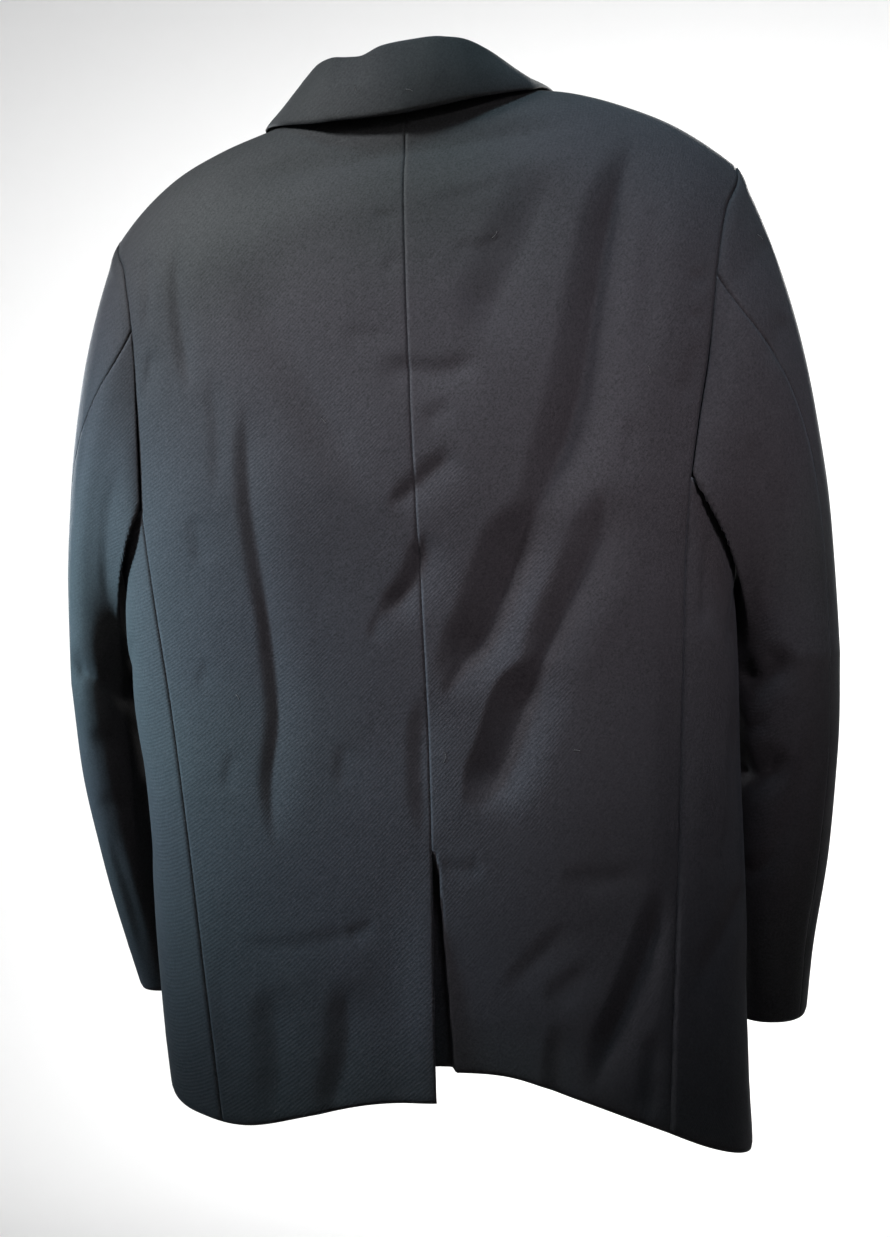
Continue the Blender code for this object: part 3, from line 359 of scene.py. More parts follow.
# The side bodies' folds, by centimetres from the back seam, and height.
SIDE_FOLDS = {
    1: (
        Fold(((3, -32.4), (6.4, -35.8), (11, -38.4)), 1.4, 0.24, 0.3, 3.4),
        Fold(((2.4, -38), (6.2, -41.2), (10.2, -43.4)), 1.2, 0.18, 0.2, 3),
        Fold(((6.4, -46), (5.8, -58)), 1.4, 0.14, 0, 3.4),
        Fold(((7.6, -60), (8.2, -77)), 1.8, 0.22, 0, 2.2),
        Fold(((12.2, -60), (12, -75)), 1.2, 0.1, 0, 2.7),
    ),
    -1: (
        Fold(((1.9, -31.5), (1.8, -36), (1.4, -40.4)), 0.9, 0.3, 0.4, 2.3),
        Fold(((10.4, -33), (6.8, -37), (4, -41.6)), 1.4, 0.26, 0.3, 3.4),
        Fold(((5.6, -44), (4.8, -52), (3.4, -59)), 1.3, 0.2, 0.2, 3),
        Fold(((6.4, -58.4), (3.2, -62.6), (0.9, -66.6)), 1.5, 0.24, 0.3, 2),
        Fold(((8.4, -62), (7.8, -79)), 1.8, 0.24, 0, 2.2),
        Fold(((12.4, -60), (12.6, -76)), 1.2, 0.1, 0, 2.7),
    ),
}
SIDE_BODY_WIDE = 16.0
SEAM_VALLEY, SEAM_VALLEY_TOP, SEAM_VALLEY_LOW, SEAM_VALLEY_WIDE = 0.42, -28.5, -68.0, 2.2
SEAM_VALLEY_FADE, SEAM_VALLEY_RISE = 5.0, 22.0

# The sleeves' folds, by angle round the arm and height, as seen from behind.
SLEEVE_FOLDS = {
    1: (
        Fold(((-70, -43.4), (-34, -42.6), (2, -41.4), (44, -39.8)), 2.6, 0.95, 0.8, 3.4),
        Fold(((-72, -42.2), (-40, -41.6), (-12, -40.8)), 3.6, 0.35, 0.4, 2.4),
        Fold(((-70, -45.6), (-24, -46.8), (16, -46)), 1.3, 0.22, 0.1, 2),
        Fold(((-60, -50.6), (-14, -52.2), (20, -51.6)), 1.2, 0.16, 0, 2),
        Fold(((34, -12.6), (26, -20), (22, -28)), 1.2, 0.2, 0, 1.8),
        Fold(((-20, -24), (-24, -30), (-30, -36)), 1.3, 0.2, 0.2, 1.8),
        Fold(((8, -54), (2, -61), (6, -67)), 1.4, 0.16, 0, 1.8),
        Fold(((60, -16), (66, -24), (60, -33)), 1.2, 0.12, 0, 1.6),
        Fold(((214, -35), (190, -37.4), (160, -38.4)), 1.6, 0.34, 0.4, 2.2),
        Fold(((222, -41), (194, -43), (166, -42.6)), 1.3, 0.26, 0.3, 1.8),
        Fold(((210, -47), (184, -48.4), (150, -47.6)), 1.4, 0.26, 0.2, 2),
        Fold(((206, -53), (182, -54.6), (158, -54)), 1.1, 0.15, 0, 1.6),
        Fold(((150, -16), (158, -24), (176, -31)), 1.3, 0.2, 0, 1.8),
        Fold(((150, -57), (146, -66)), 1.4, 0.12, 0, 1.8),
    ),
    -1: (
        Fold(((66, -10.2), (34, -12.6), (4, -15.2)), 1.5, 0.42, 0.2, 2),
        Fold(((50, -16.4), (30, -18.6), (18, -21)), 1.2, 0.26, 0, 1.6),
        Fold(((-14, -25), (-26, -30), (-44, -35)), 1.2, 0.2, 0.2, 1.6),
        Fold(((2, -28), (-6, -34), (-20, -39.6)), 1.3, 0.16, 0, 2),
        Fold(((2, -41.4), (-36, -43.6), (-72, -43)), 2.4, 0.8, 0.7, 2.6),
        Fold(((2, -49.4), (-38, -51.2), (-76, -50.6)), 2.3, 0.75, 0.7, 2.4),
        Fold(((-86, -31), (-88, -38), (-86, -45)), 3, -0.95, 0, 3),
        Fold(((-20, -46.4), (-48, -47.6), (-76, -46.8)), 0.9, 0.16, 0.2, 1),
        Fold(((30, -46), (4, -54), (-18, -59.6)), 1.4, 0.2, 0, 2.2),
        Fold(((-6, -57), (-30, -58.8), (-60, -58.4)), 1.2, 0.22, 0.3, 1.6),
        Fold(((24, -22), (18, -32), (24, -40)), 1.4, 0.16, 0, 2),
        Fold(((52, -60), (44, -69)), 1.2, 0.12, 0, 1.6),
        Fold(((160, -35.4), (188, -37.4), (214, -36)), 1.6, 0.34, 0.4, 2.2),
        Fold(((158, -41.6), (192, -43.6), (218, -42.4)), 1.3, 0.26, 0.3, 1.8),
        Fold(((152, -47.4), (186, -49), (210, -48.4)), 1.4, 0.26, 0.2, 2),
        Fold(((176, -30), (158, -24), (150, -16)), 1.3, 0.2, 0, 1.8),
        Fold(((146, -67), (152, -57)), 1.4, 0.12, 0, 1.8),
    ),
}
CM_PER_DEGREE = 0.092
CREASE_FADE_TOP, CREASE_FADE_CUFF, SLEEVE_UNEVEN = 5.0, 8.0, 9.0
FOLD_SAMPLES, FOLD_TAPER, FOLD_NARROW, FOLD_ROUND = 48, 0.28, 0.6, 0.12

FLAP_TOP_Z, FLAP_TALL, FLAP_INNER_X, FLAP_OUTER_X = -50.5, 5.2, 7.0, 18.4
FLAP_SLANT, FLAP_FLARE = 0.06, 0.05
WELT_Z, WELT_TALL, WELT_INNER_X, WELT_OUTER_X, WELT_RISE = -20.2, 2.3, 12.4, 18.4, 0.8
BUTTON_HEIGHTS = {"front_button_upper": -41.6, "front_button_lower": -53.0}

# Buttons: the profile's radii and heights, and how they, their holes and their thread are placed.
BUTTON_THICK = 0.36
BUTTON_PROFILE = (
    (0.0, 0.10), (0.62, 0.10), (0.78, 0.01), (0.94, 0.02), (0.99, 0.08), (1.0, 0.14), (0.97, 0.24),
    (0.90, 0.31), (0.80, 0.35), (0.70, BUTTON_THICK), (0.62, 0.33), (0.56, 0.29), (0.0, 0.27),
)
BUTTON_STEPS, BUTTON_HOLE_SIDES, TURNED_JOIN = 64, 20, 0.0005
BUTTON_OFF_CLOTH, BUTTON_HOLE, BUTTON_HOLE_OUT, BUTTON_CUT_LONG = 0.06, 0.11, 0.22, 1.2
THREAD_RADIUS, THREAD_FACE, THREAD_IN, THREAD_ARCH = 0.035, 0.45, 0.02, 0.10
BUTTONHOLE_START, BUTTONHOLE_LONG, BUTTONHOLE_TALL = -0.35, 2.3, 0.16
BUTTONHOLE_CORD, BUTTONHOLE_PROUD, BUTTONHOLE_TURN = 0.035, 0.6, 30
LAPEL_HOLE_X, LAPEL_HOLE_Z, LAPEL_HOLE_LONG, LAPEL_HOLE_SLANT = 12.9, -9.9, 1.9, 0.5

# The narrow folded strip above each pocket flap.
JET_TALL, JET_ABOVE, JET_OUT, JET_ROWS, JET_TURN_START, JET_TURN = 0.45, 0.06, 0.16, 6, 0.25, 0.5

# The spacing of the cloth's points, and how long and wide each kind of piece is for their number.
SPACING, BACK_SPACING = 0.38, 0.29
LENGTHS = {
    "back": (46, 31, 26), "front": (48, 31, 26), "side": (48, 17), "lapel": (40, 14), "top": (67, 24),
    "under": (67, 34), "collar": (62, 14), "flap": (12, 5.4), "welt": (7, 2.4),
}

# How the cloth is finished: the dips along seams, hems and edges, and the marks of the turned hems.
SEAM_WIDE, HEM_WIDE, HEM_DIP = 0.13, 0.24, 3.4
CENTRE_DIP_SHARE, CENTRE_DIP_FADE = 0.2, 2.0
HEM_TURN_UP, HEM_MARK_WIDE, HEM_MARK, HEM_MARK_UNEVEN, HEM_MARK_PACE = 4.0, 0.35, 0.012, 0.6, 0.9
PUCKER_EVERY, PUCKER_SHARE = 2.6, 0.5
PUCKER_STARTS = {"back_left": 0.4, "back_right": 2.2, "front": 1.1, "lapel": 0.7, "collar": 0.9}
SEAM_WAVES, SEAM_WAVES_HIGH = ((1.0, 1.0, 0.0, 1.0), (0.6, 2.3, 0.0, 1.7), (0.4, 0.37, 3.1, 0.0)), 2.0
VENT_FLAP_LIFT, VENT_FLAP_TALL, VENT_FLAP_WIDE = 0.6, 13.0, 2.2
HEAD_LOW_Z, HEAD_FADE, HEAD_FULLNESS, HEAD_AWAY, HEAD_WIDE = -16.0, 6.0, 0.10, 0.9, 0.7
SLACK_WAVES = (
    (0.21, 0.13, 0.4, 0.030), (0.34, -0.17, 1.9, 0.022), (0.09, 0.41, 2.7, 0.026), (0.55, 0.38, 5.1, 0.012),
)
SWAY, SWAY_UP, SWAY_ACROSS = 0.8, 0.7, 0.11

# The uneven dye: how dark and light it gets, and the tints that it leans to.
DYE_SHARES, HORN_LIGHT = (0.82, 1.2), 2.6
TINT_GREEN, TINT_PLUM = (0.97, 1.03, 0.99, 1), (1.05, 0.97, 1.04, 1)

# Pale fibres of lint on the back, the collar and the right sleeve. The curl is a share of the length.
Lint = namedtuple("Lint", "piece x z long turn curl")
LINT = (
    Lint("collar", -0.6, 0.7, 0.5, 20, 0.3),
    Lint("collar", 3.5, 1.4, 0.35, 75, 0.1),
    Lint("back_right", -6.5, -10.7, 0.55, 130, 0.4),
    Lint("back_left", 6.6, -23.2, 0.45, 50, 0.2),
    Lint("back_right", -1.1, -48.1, 0.8, 100, 0.5),
    Lint("back_right", -10.6, -47.9, 0.4, 10, 0.2),
    Lint("back_left", 14.7, -43.2, 0.5, 60, 0.3),
    Lint("back_right", -17.0, -20.9, 0.6, 85, 0.3),
    Lint("top_sleeve_right", -25.6, -10.5, 0.5, 35, 0.2),
    Lint("top_sleeve_right", -27.2, -57.5, 0.6, 70, 0.4),
    Lint("top_sleeve_right", -26.4, -60.0, 0.35, 150, 0.2),
)
LINT_RADIUS, LINT_LIFT, LINT_SHARES = 0.011, 0.03, (-0.5, -0.15, 0.2, 0.5)
RAY_START = 0.3

# Lights: places, targets and sizes in metres, power in watts, and the angle of the beam in degrees.
Light = namedtuple("Light", "name place target size power colour spread")
LIGHTS = (
    Light("window", (0.76, 0.50, 0.54), (0.0, 0.1, -0.24), 0.24, 3.1, (0.92, 0.98, 1.0), 38),
    Light("cool_side", (1.35, 0.30, 0.0), (0.28, 0.0, -0.40), 0.26, 4.0, (0.52, 0.82, 1.0), 30),
    Light("fill_behind", (-0.70, 1.25, 0.20), (-0.18, 0.1, -0.25), 0.30, 0.95, (1.0, 0.96, 1.0), 26),
    Light("sky_top", (-0.20, 0.40, 1.10), (-0.22, 0.05, 0.0), 0.35, 1.7, (0.55, 0.86, 1.0), 36),
    Light("front_key", (-0.7, -1.7, 0.6), (0.0, 0.0, -0.38), 0.5, 11.0, (1.0, 0.98, 0.95), 50),
    Light("front_side", (1.2, -1.3, 0.1), (0.0, 0.0, -0.40), 0.5, 4.0, (0.90, 0.95, 1.0), 50),
    Light("backdrop_front", (0.0, -1.8, 1.0), (0.0, -5.0, 0.0), 1.2, 190.0, (1.0, 1.0, 1.0), 160),
    Light("backdrop_back", (0.0, 2.4, 1.2), (0.0, 5.0, 0.0), 1.2, 30.0, (1.0, 1.0, 1.0), 160),
)
SKY_STRENGTH = 0.03
FLOOR_Z, FLOOR_FLAT, FLOOR_RISE, FLOOR_WALL = -1.9, 3.2, 2.8, 8.0
FLOOR_CURVE_STEPS, FLOOR_STEPS = 12, 72

# The camera: behind the garment, a little to its right, turned and rolled as in the photo.
CAMERA_YAW, CAMERA_ROLL = math.radians(9.0), math.radians(2.6)
CAMERA_AWAY, CAMERA_Z, FOCAL_SHARE = 1.10, -0.38, 1380.0 / 1237.0
SENSOR = 36.0


def bell(away):
    return np.exp(-(away**2))


def blend(first, last, share):
    return first + (last - first) * share


def ease(share):
    share = np.clip(share, 0.0, 1.0)
    return share * share * (3 - 2 * share)


def between(t, first, leave, last, arrive, reach=1.0):
    """A smooth way from a first value to a last one, with the slopes that it leaves and arrives by."""
    start = (1 + 2 * t) * (1 - t) ** 2 * first + t * (1 - t) ** 2 * reach * leave
    return start + t * t * (3 - 2 * t) * last + t * t * (t - 1) * reach * arrive


def smooth(places, values, at):
    """Reads a smooth curve that passes through the values given at these places."""
    places, values = np.asarray(places, float), np.asarray(values, float)
    slopes = np.gradient(values, places)
    at = np.clip(at, places[0], places[-1])
    i = np.clip(np.searchsorted(places, at) - 1, 0, len(places) - 2)
    step = places[i + 1] - places[i]
    return between((at - places[i]) / step, values[i], slopes[i], values[i + 1], slopes[i + 1], step)


def column(table, name, at):
    """One named column of a table, read smoothly by the table's first column."""
    return smooth([row[0] for row in table], [getattr(row, name) for row in table], at)


def side_column(table, side, at):
    return column(table, "left" if side == LEFT else "right", at)


def points(x, y, z):
    return np.stack(np.broadcast_arrays(x, y, z), axis=-1).astype(float)


def wall_depth(x, z, side, face):
    """How far the torso's ring lies from its middle, behind or in front, at this distance from the middle."""
    share = np.clip(np.abs(x) / side_column(TORSO, side, z), 0, RING_LIMIT)
    return column(TORSO, face, z) * (1 - share**SQUARENESS) ** (1 / SQUARENESS)


def ridge_height(x, side):
    return side_column(SHOULDERS, side, np.abs(x))


def wall(x, z, side, face):
    """A point of the torso's wall. x counts outwards from the middle, on either side."""
    drop = np.clip((ridge_height(x, side) - z) / ROLL_HEIGHT, 0, 1)
    rolled = np.sqrt(1 - (1 - drop) ** 2)
    depth = wall_depth(x, z, side, face) * (1 if face == "back" else -1)
    return points(x * side, depth * rolled, z)


def ring_angle(x, z, side, face):
    share = np.clip(x / side_column(TORSO, side, z), *RING_SHARES)
    angle = np.degrees(np.arcsin(np.sign(share) * np.abs(share) ** (SQUARENESS / 2)))
    return angle if face == "back" else 180 - angle


def ring_point(angle, z, side):
    """A point of the torso's wall by its angle round the body, from the centre back."""
    sine, cosine = np.sin(np.radians(angle)), np.cos(np.radians(angle))
    power = 2 / SQUARENESS
    depth = np.where(cosine > 0, column(TORSO, "back", z), column(TORSO, "front", z))
    x = side_column(TORSO, side, z) * np.abs(sine) ** power
    return points(x * side, depth * np.sign(cosine) * np.abs(cosine) ** power, z)


def seam_angle(z, side, face):
    """The angle of a side seam round the body, at this height."""
    return ring_angle(side_column(SIDE_SEAMS[face], side, z), z, side, face)


def hem_height(angle, side):
    return side_column(HEM, side, angle)


def neckline_or_ridge(x, side):
    """The top edge of the back: the neckline near the middle, then the shoulder seam."""
    share = np.clip(np.abs(x) / NECK_HALF, 0, 1)
    neck = NAPE_Z + (ridge_height(NECK_HALF, side) - NAPE_Z) * share**NECKLINE_CURVE
    return np.where(np.abs(x) < NECK_HALF, neck, ridge_height(x, side))


def inner_x(z, side, face):
    """A panel's inner edge: the centre seam of the back, or the front's own edge."""
    return side_column(CENTRE_BACK, side, z) if face == "back" else column(FRONT_EDGE, "x", z)


def fold_depth(folds, x, z, across=1.0, round_arm=False):
    """The sum of the folds at these places. Across turns x into centimetres to the right on the picture."""
    x, z = np.broadcast_arrays(x, z)
    total = np.zeros(x.shape)
    for fold in folds:
        line = np.array(fold.line, float)
        middle = line[:, 0].mean()
        near = (x - middle + 180) % 360 - 180 + middle if round_arm else x
        total += one_fold(fold, line[:, 0] * across, line[:, 1], near * across, z)
    return total * bpy.context.scene.blazer_sizes.crease


def one_fold(fold, line_x, line_z, x, z):
    """How deep one fold is at these places: its steep side, its bottom, and its gentle return."""
    lengths = np.concatenate([[0.0], np.cumsum(np.hypot(np.diff(line_x), np.diff(line_z)))])
    at = np.linspace(0, lengths[-1], FOLD_SAMPLES)
    curve_x, curve_z = smooth(lengths, line_x, at), smooth(lengths, line_z, at)
    run_x, run_z = np.gradient(curve_x), np.gradient(curve_z)
    step = np.hypot(run_x, run_z)
    run_x, run_z = run_x / step, run_z / step
    near = np.argmin((x[..., None] - curve_x) ** 2 + (z[..., None] - curve_z) ** 2, axis=-1)
    off_x, off_z = x - curve_x[near], z - curve_z[near]
    along = (near + (off_x * run_x[near] + off_z * run_z[near]) / step[near]) / (FOLD_SAMPLES - 1)
    aside = off_x * run_z[near] - off_z * run_x[near]
    ends = ease(along / FOLD_TAPER) * ease((1 - along) / FOLD_TAPER)
    rise = np.clip(1 - aside / (fold.wide * blend(FOLD_NARROW, 1.0, ends)), 0, 1)
    edge = rise**2 if fold.sharp > 0 else 1 - (1 - rise) ** 2
    steep = blend(ease(rise), edge, abs(fold.sharp))
    away = np.hypot(np.maximum(-aside, 0), FOLD_ROUND) - FOLD_ROUND
    gentle = np.clip(1 - away / fold.back, 0, 1) ** 2
    return fold.depth * ends * np.where(aside > 0, steep, gentle)


def side_seam_valley(away, z, side):
    """The right side seam is drawn in below the arm. Away is the distance from the seam."""
    if side == LEFT:
        return 0.0 * z
    tall = ease((SEAM_VALLEY_TOP - z) / SEAM_VALLEY_FADE) * ease((z - SEAM_VALLEY_LOW) / SEAM_VALLEY_RISE)
    return SEAM_VALLEY * tall * (1 - np.clip(away / SEAM_VALLEY_WIDE, 0, 1)) ** 2


def slack(x, z):
    """The slight unevenness of worn cloth, in centimetres."""
    total = 0.0
    for across, up, start, depth in SLACK_WAVES:
        sway = SWAY * np.sin(z * up * SWAY_UP + x * SWAY_ACROSS)
        total = total + depth * np.sin(x * across + z * up + start + sway)
    return total


def pulled_in(grid, first_row=True, last_row=True):
    """The grid with its seam edges moved in by half of the gap between two pieces."""
    grid, every = grid.copy(), slice(None)
    rows = [(0, 1)] * first_row + [(-1, -2)] * last_row
    for edge, inner in (*rows, ((every, 0), (every, 1)), ((every, -1), (every, -2))):
        step = grid[inner] - grid[edge]
        grid[edge] += step / np.linalg.norm(step, axis=-1, keepdims=True) * SEAM_GAP / 2
    return grid


def moved_out(grid, amount, middle=None):
    """The grid moved along its own normals, away from its middle, by one amount or by one for each point."""
    normal = np.cross(np.gradient(grid, axis=1), np.gradient(grid, axis=0))
    normal /= np.maximum(np.linalg.norm(normal, axis=-1, keepdims=True), NO_LENGTH)
    away = grid[..., :2] - (0 if middle is None else middle)
    outwards = np.sign((normal[..., :2] * away).sum())
    return grid + normal * outwards * np.asarray(amount)[..., None]


def panel(side, face, low_shares, high, columns):
    """A back or front panel from hem to shoulder: its points' distances from the middle, and heights."""
    across, seam = np.linspace(0, 1, columns)[None, :], SIDE_SEAMS[face]
    top_in = NAPE_Z if face == "back" else ridge_height(NECK_HALF, side)
    hem_in = hem_height(0 if face == "back" else HEM_FRONT_ANGLE, side)
    hem_out = hem_height(seam_angle(HEM_MIDDLE_Z, side, face), side)
    hem_x = blend(inner_x(hem_in, side, face), side_column(seam, side, hem_out), across)
    hem_z = hem_height(ring_angle(hem_x, HEM_MIDDLE_Z, side, face), side)
    hem_z = hem_z + blend(hem_in - hem_z[:, :1], hem_out - hem_z[:, -1:], across)
    rows_x, rows_z = [], []
    for share in low_shares:
        z_in, z_out = blend(hem_in, ARMHOLE_BASE, share), blend(hem_out, ARMHOLE_BASE, share)
        rows_x.append(blend(inner_x(z_in, side, face), side_column(seam, side, z_out), across))
        rows_z.append(blend(hem_z, ARMHOLE_BASE, share))
    tip_z = ridge_height(TIP_X[side], side)
    top_x = blend(inner_x(top_in, side, face), TIP_X[side], across)
    top_z = neckline_or_ridge(top_x, side) if face == "back" else ridge_height(top_x, side)
    # The rows come closer together where the cloth rolls over the shoulder.
    for share in 1 - (1 - np.linspace(0, 1, high + 1)[1:]) ** CAP_ROUNDING:
        z_in, z_out = blend(ARMHOLE_BASE, top_in, share), blend(ARMHOLE_BASE, tip_z, share)
        rows_x.append(blend(inner_x(z_in, side, face), armhole_x(z_out, share, side, face), across))
        rows_z.append(blend(ARMHOLE_BASE, top_z, share))
    return np.concatenate(rows_x), np.concatenate(rows_z)


def seam_fade(x, z, side, face):
    """Folds fade out towards the side seam, the armhole and the shoulder, where pieces meet."""
    seam, armhole = (side_column(table[face], side, z) for table in (SIDE_SEAMS, ARMHOLES))
    outer = np.where(z < ARMHOLE_BASE, seam, armhole)
    return ease((outer - x) / FOLD_FADE) * ease((ridge_height(x, side) - z) / RIDGE_FADE)


def back_grid(side, low, high, columns):
    """The back panel's wall between the centre seam, side seam, armhole, shoulder and neck."""
    x, z = panel(side, "back", np.linspace(0, 1, low), high, columns)
    grid = wall(x, z, side, "back")
    depth = fold_depth(BACK_FOLDS, x * side, z, -1.0) + slack(x * side, z)
    grid[..., 1] -= depth * seam_fade(x, z, side, "back")
    grid[..., 1] -= side_seam_valley(side_column(SIDE_BACK, side, z) - x, z, side)
    if side == RIGHT:
        grid[..., 1] -= vent_dip(x, z, side)
    return grid


def vent_grid(side, low):
    """The flap under the vent: on from the right panel's centre edge, and in under the left panel."""
    edge_z = blend(hem_height(0, side), ARMHOLE_BASE, np.linspace(0, 1, low))
    edge_z = edge_z[edge_z < VENT_TOP_Z - VENT_OPENING]
    x = side_column(CENTRE_BACK, side, edge_z)[:, None] - np.array(VENT_STEPS)[None, :]
    grid = wall(x, np.repeat(edge_z[:, None], len(VENT_STEPS), axis=1), side, "back")
    grid[..., 1] -= VENT_DEPTH
    return grid


def vent_dip(x, z, side):
    """How far the right panel's edge dips in under the left one, below the top of the vent."""
    from_edge = x - side_column(CENTRE_BACK, side, z)
    opened = ease((VENT_TOP_Z - z) / VENT_OPENING)
    wide = blend(VENT_SLIT_WIDE, VENT_DIP_WIDE, np.clip((VENT_TOP_Z - z) / VENT_TALL, 0, 1))
    return VENT_DEPTH * opened * ease((wide - from_edge) / (wide * VENT_DIP_SHARE))


def front_grid(side, low, high, columns):
    """The front panel's wall, with closer rows at the rounded corner."""
    shares = np.linspace(0, 1, low) ** FRONT_ROW_SPREAD
    return front_wall(*panel(side, "front", shares, high, columns), side)


def front_wall(x, z, side):
    """The front's wall with its folds and the step where one front laps over the other."""
    grid = wall(x, z, side, "front")
    fade = seam_fade(x, z, side, "front") * ease((x - inner_x(z, side, "front")) / FOLD_FADE)
    depth = fold_depth(FRONT_FOLDS, x, z) + slack(x * side + FRONT_SLACK_START, z)
    grid[..., 1] += depth * fade + front_step(x, z, side)
    return grid


def front_step(x, z, side):
    """Where the fronts overlap, the right one steps in and the left one out."""
    share = ease((STEP_TO_X - x) / STEP_WIDE) * ease((OVERLAP_TOP_Z - z) / OVERLAP_FADE)
    return share * (STEP_IN if side == RIGHT else -STEP_OUT)


def side_body(across, z, side):
    """A point of the side body, by its share of the way from the back seam to the front one."""
    return ring_point(blend(seam_angle(z, side, "back"), seam_angle(z, side, "front"), across), z, side)


def underarm_height(across):
    """The side body's top edge dips below the armhole's base in a round scoop."""
    return ARMHOLE_BASE - UNDERARM_SCOOP * np.sin(np.pi * across) ** SCOOP_SQUARE


def side_grid(side, rows, columns):
    """The side body between its two seams, from the hem to the underarm."""
    across, up = np.linspace(0, 1, columns)[None, :], np.linspace(0, 1, rows)[:, None]
    top = underarm_height(across)
    back, front = (seam_angle(HEM_MIDDLE_Z, side, face) for face in ("back", "front"))
    z = blend(hem_height(blend(back, front, across), side), top, up)
    away = across * SIDE_BODY_WIDE + 0 * z
    depth = fold_depth(SIDE_FOLDS[side], away, z, -side) + slack(away, z)
    fade = ease(away / FOLD_FADE) * ease((SIDE_BODY_WIDE - away) / FOLD_FADE) * ease((top - z) / FOLD_FADE)
    grid = moved_out(side_body(across, z, side), -depth * fade)
    grid[..., 1] -= side_seam_valley(away, z, side)
    return grid


def armhole_x(z, share, side, face):
    """The armhole's distance from the middle. Near the shoulder tip it closes on the tip."""
    near_tip = ease(share * TIP_TURN - (TIP_TURN - 1))
    return blend(side_column(ARMHOLES[face], side, z), TIP_X[side], near_tip)


def armhole_point(angle, side):
    """The line of the armhole by the sleeve's angle, read from the edges of the back, side and front."""
    angle = np.asarray(angle, float)
    tip_z = ridge_height(TIP_X[side], side)

    def upper(share, face):
        height = 1 - (1 - np.clip(share, 0, 1)) ** CAP_ROUNDING
        z = blend(ARMHOLE_BASE, tip_z, height)
        return wall(armhole_x(z, height, side, face), z, side, face)

    behind = upper((angle - BACK_SEAM_ANGLE) / (TIP_ANGLE - BACK_SEAM_ANGLE), "back")
    before = upper((FRONT_SEAM_ANGLE - angle) / (FRONT_SEAM_ANGLE - TIP_ANGLE), "front")
    under = (360 + BACK_SEAM_ANGLE - angle) / (360 + BACK_SEAM_ANGLE - FRONT_SEAM_ANGLE)
    under = np.clip(under, 0, 1)
    high = np.where((angle <= TIP_ANGLE)[..., None], behind, before)
    low = side_body(under, underarm_height(under), side)
    return np.where((angle <= FRONT_SEAM_ANGLE)[..., None], high, low)


def sleeve_ring(angle, z, side):
    """A point of the sleeve below the arm, by its angle round the sleeve and its height."""
    rows = SLEEVE_ROWS[side]
    sine, cosine = np.sin(np.radians(angle)), np.cos(np.radians(angle))
    power = 2 / SLEEVE_SQUARENESS
    x = column(rows, "out", z) + column(rows, "across", z) * np.sign(sine) * np.abs(sine) ** power
    y = column(rows, "y", z) + column(rows, "deep", z) * np.sign(cosine) * np.abs(cosine) ** power
    return points(x * side, y, z)


def sleeve_crease(angle, z, side):
    """How far the sleeve is creased in at these places."""
    across, ahead = np.sin(np.radians(angle)), np.cos(np.radians(angle))
    creased = fold_depth(SLEEVE_FOLDS[side], angle, z, -side * CM_PER_DEGREE, True)
    return creased + slack(SLEEVE_UNEVEN * across, z + SLEEVE_UNEVEN * ahead)


def sleeve_middle(z, side):
    """The middle of the sleeve at these heights."""
    rows = SLEEVE_ROWS[side]
    return np.stack([column(rows, "out", z) * side, column(rows, "y", z)], axis=-1)


def sleeve_start(angle, side):
    """The sleeve's first line: the armhole, moved out far enough to clear the body's cloth."""
    start = armhole_point(angle, side)
    under = ease(np.clip(-np.sin(np.radians(angle)), 0, 1) * UNDERARM_GAIN)[..., None]
    width, depth = side_column(TORSO, side, ARMHOLE_BASE), column(TORSO, "back", ARMHOLE_BASE)
    away = points(start[..., 0] / width**2, start[..., 1] / depth**2, 0)
    away /= np.linalg.norm(away, axis=-1, keepdims=True)
    outwards = blend(points(side, 0, 0), away, under)
    return start + outwards * blend(SLEEVE_HEAD_OUT, UNDERARM_OUT, under)


def sleeve_points(angle, share, side):
    """A point of the sleeve: from the armhole in a smooth loft to the first ring, then down to the cuff."""
    rows = SLEEVE_ROWS[side]
    first_z, cuff_z = rows[-1].z, rows[0].z
    in_cap = np.clip(share / CAP_SHARE, 0, 1)
    below = np.clip((share - CAP_SHARE) / (1 - CAP_SHARE), 0, 1)
    start = sleeve_start(angle, side)
    end = sleeve_ring(angle, np.full(np.shape(angle), first_z), side)
    reach = np.linalg.norm(end - start, axis=-1, keepdims=True)
    top = np.clip(np.sin(np.radians(angle)), 0, 1)[..., None]
    leave = points(side, 0, 0) * (CAP_SLOPE - CAP_SLOPE_TOP * top) + points(0, 0, -1.0)
    leave = leave / np.linalg.norm(leave, axis=-1, keepdims=True) * reach
    t = in_cap[..., None]
    cap = between(t, start, leave, end, points(0, 0, -1.0) * reach)
    grid = np.where(t < 1, cap, sleeve_ring(angle, blend(first_z, cuff_z, below), side))
    inwards = sleeve_middle(grid[..., 2], side) - grid[..., :2]
    inwards = np.concatenate([inwards, 0 * grid[..., 2:]], axis=-1)
    inwards /= np.maximum(np.linalg.norm(inwards, axis=-1, keepdims=True), NO_WIDTH)
    steady = ease(in_cap * CREASE_FADE_TOP) * ease((1 - share) * CREASE_FADE_CUFF)
    return grid + inwards * (sleeve_crease(angle, grid[..., 2], side) * steady)[..., None]


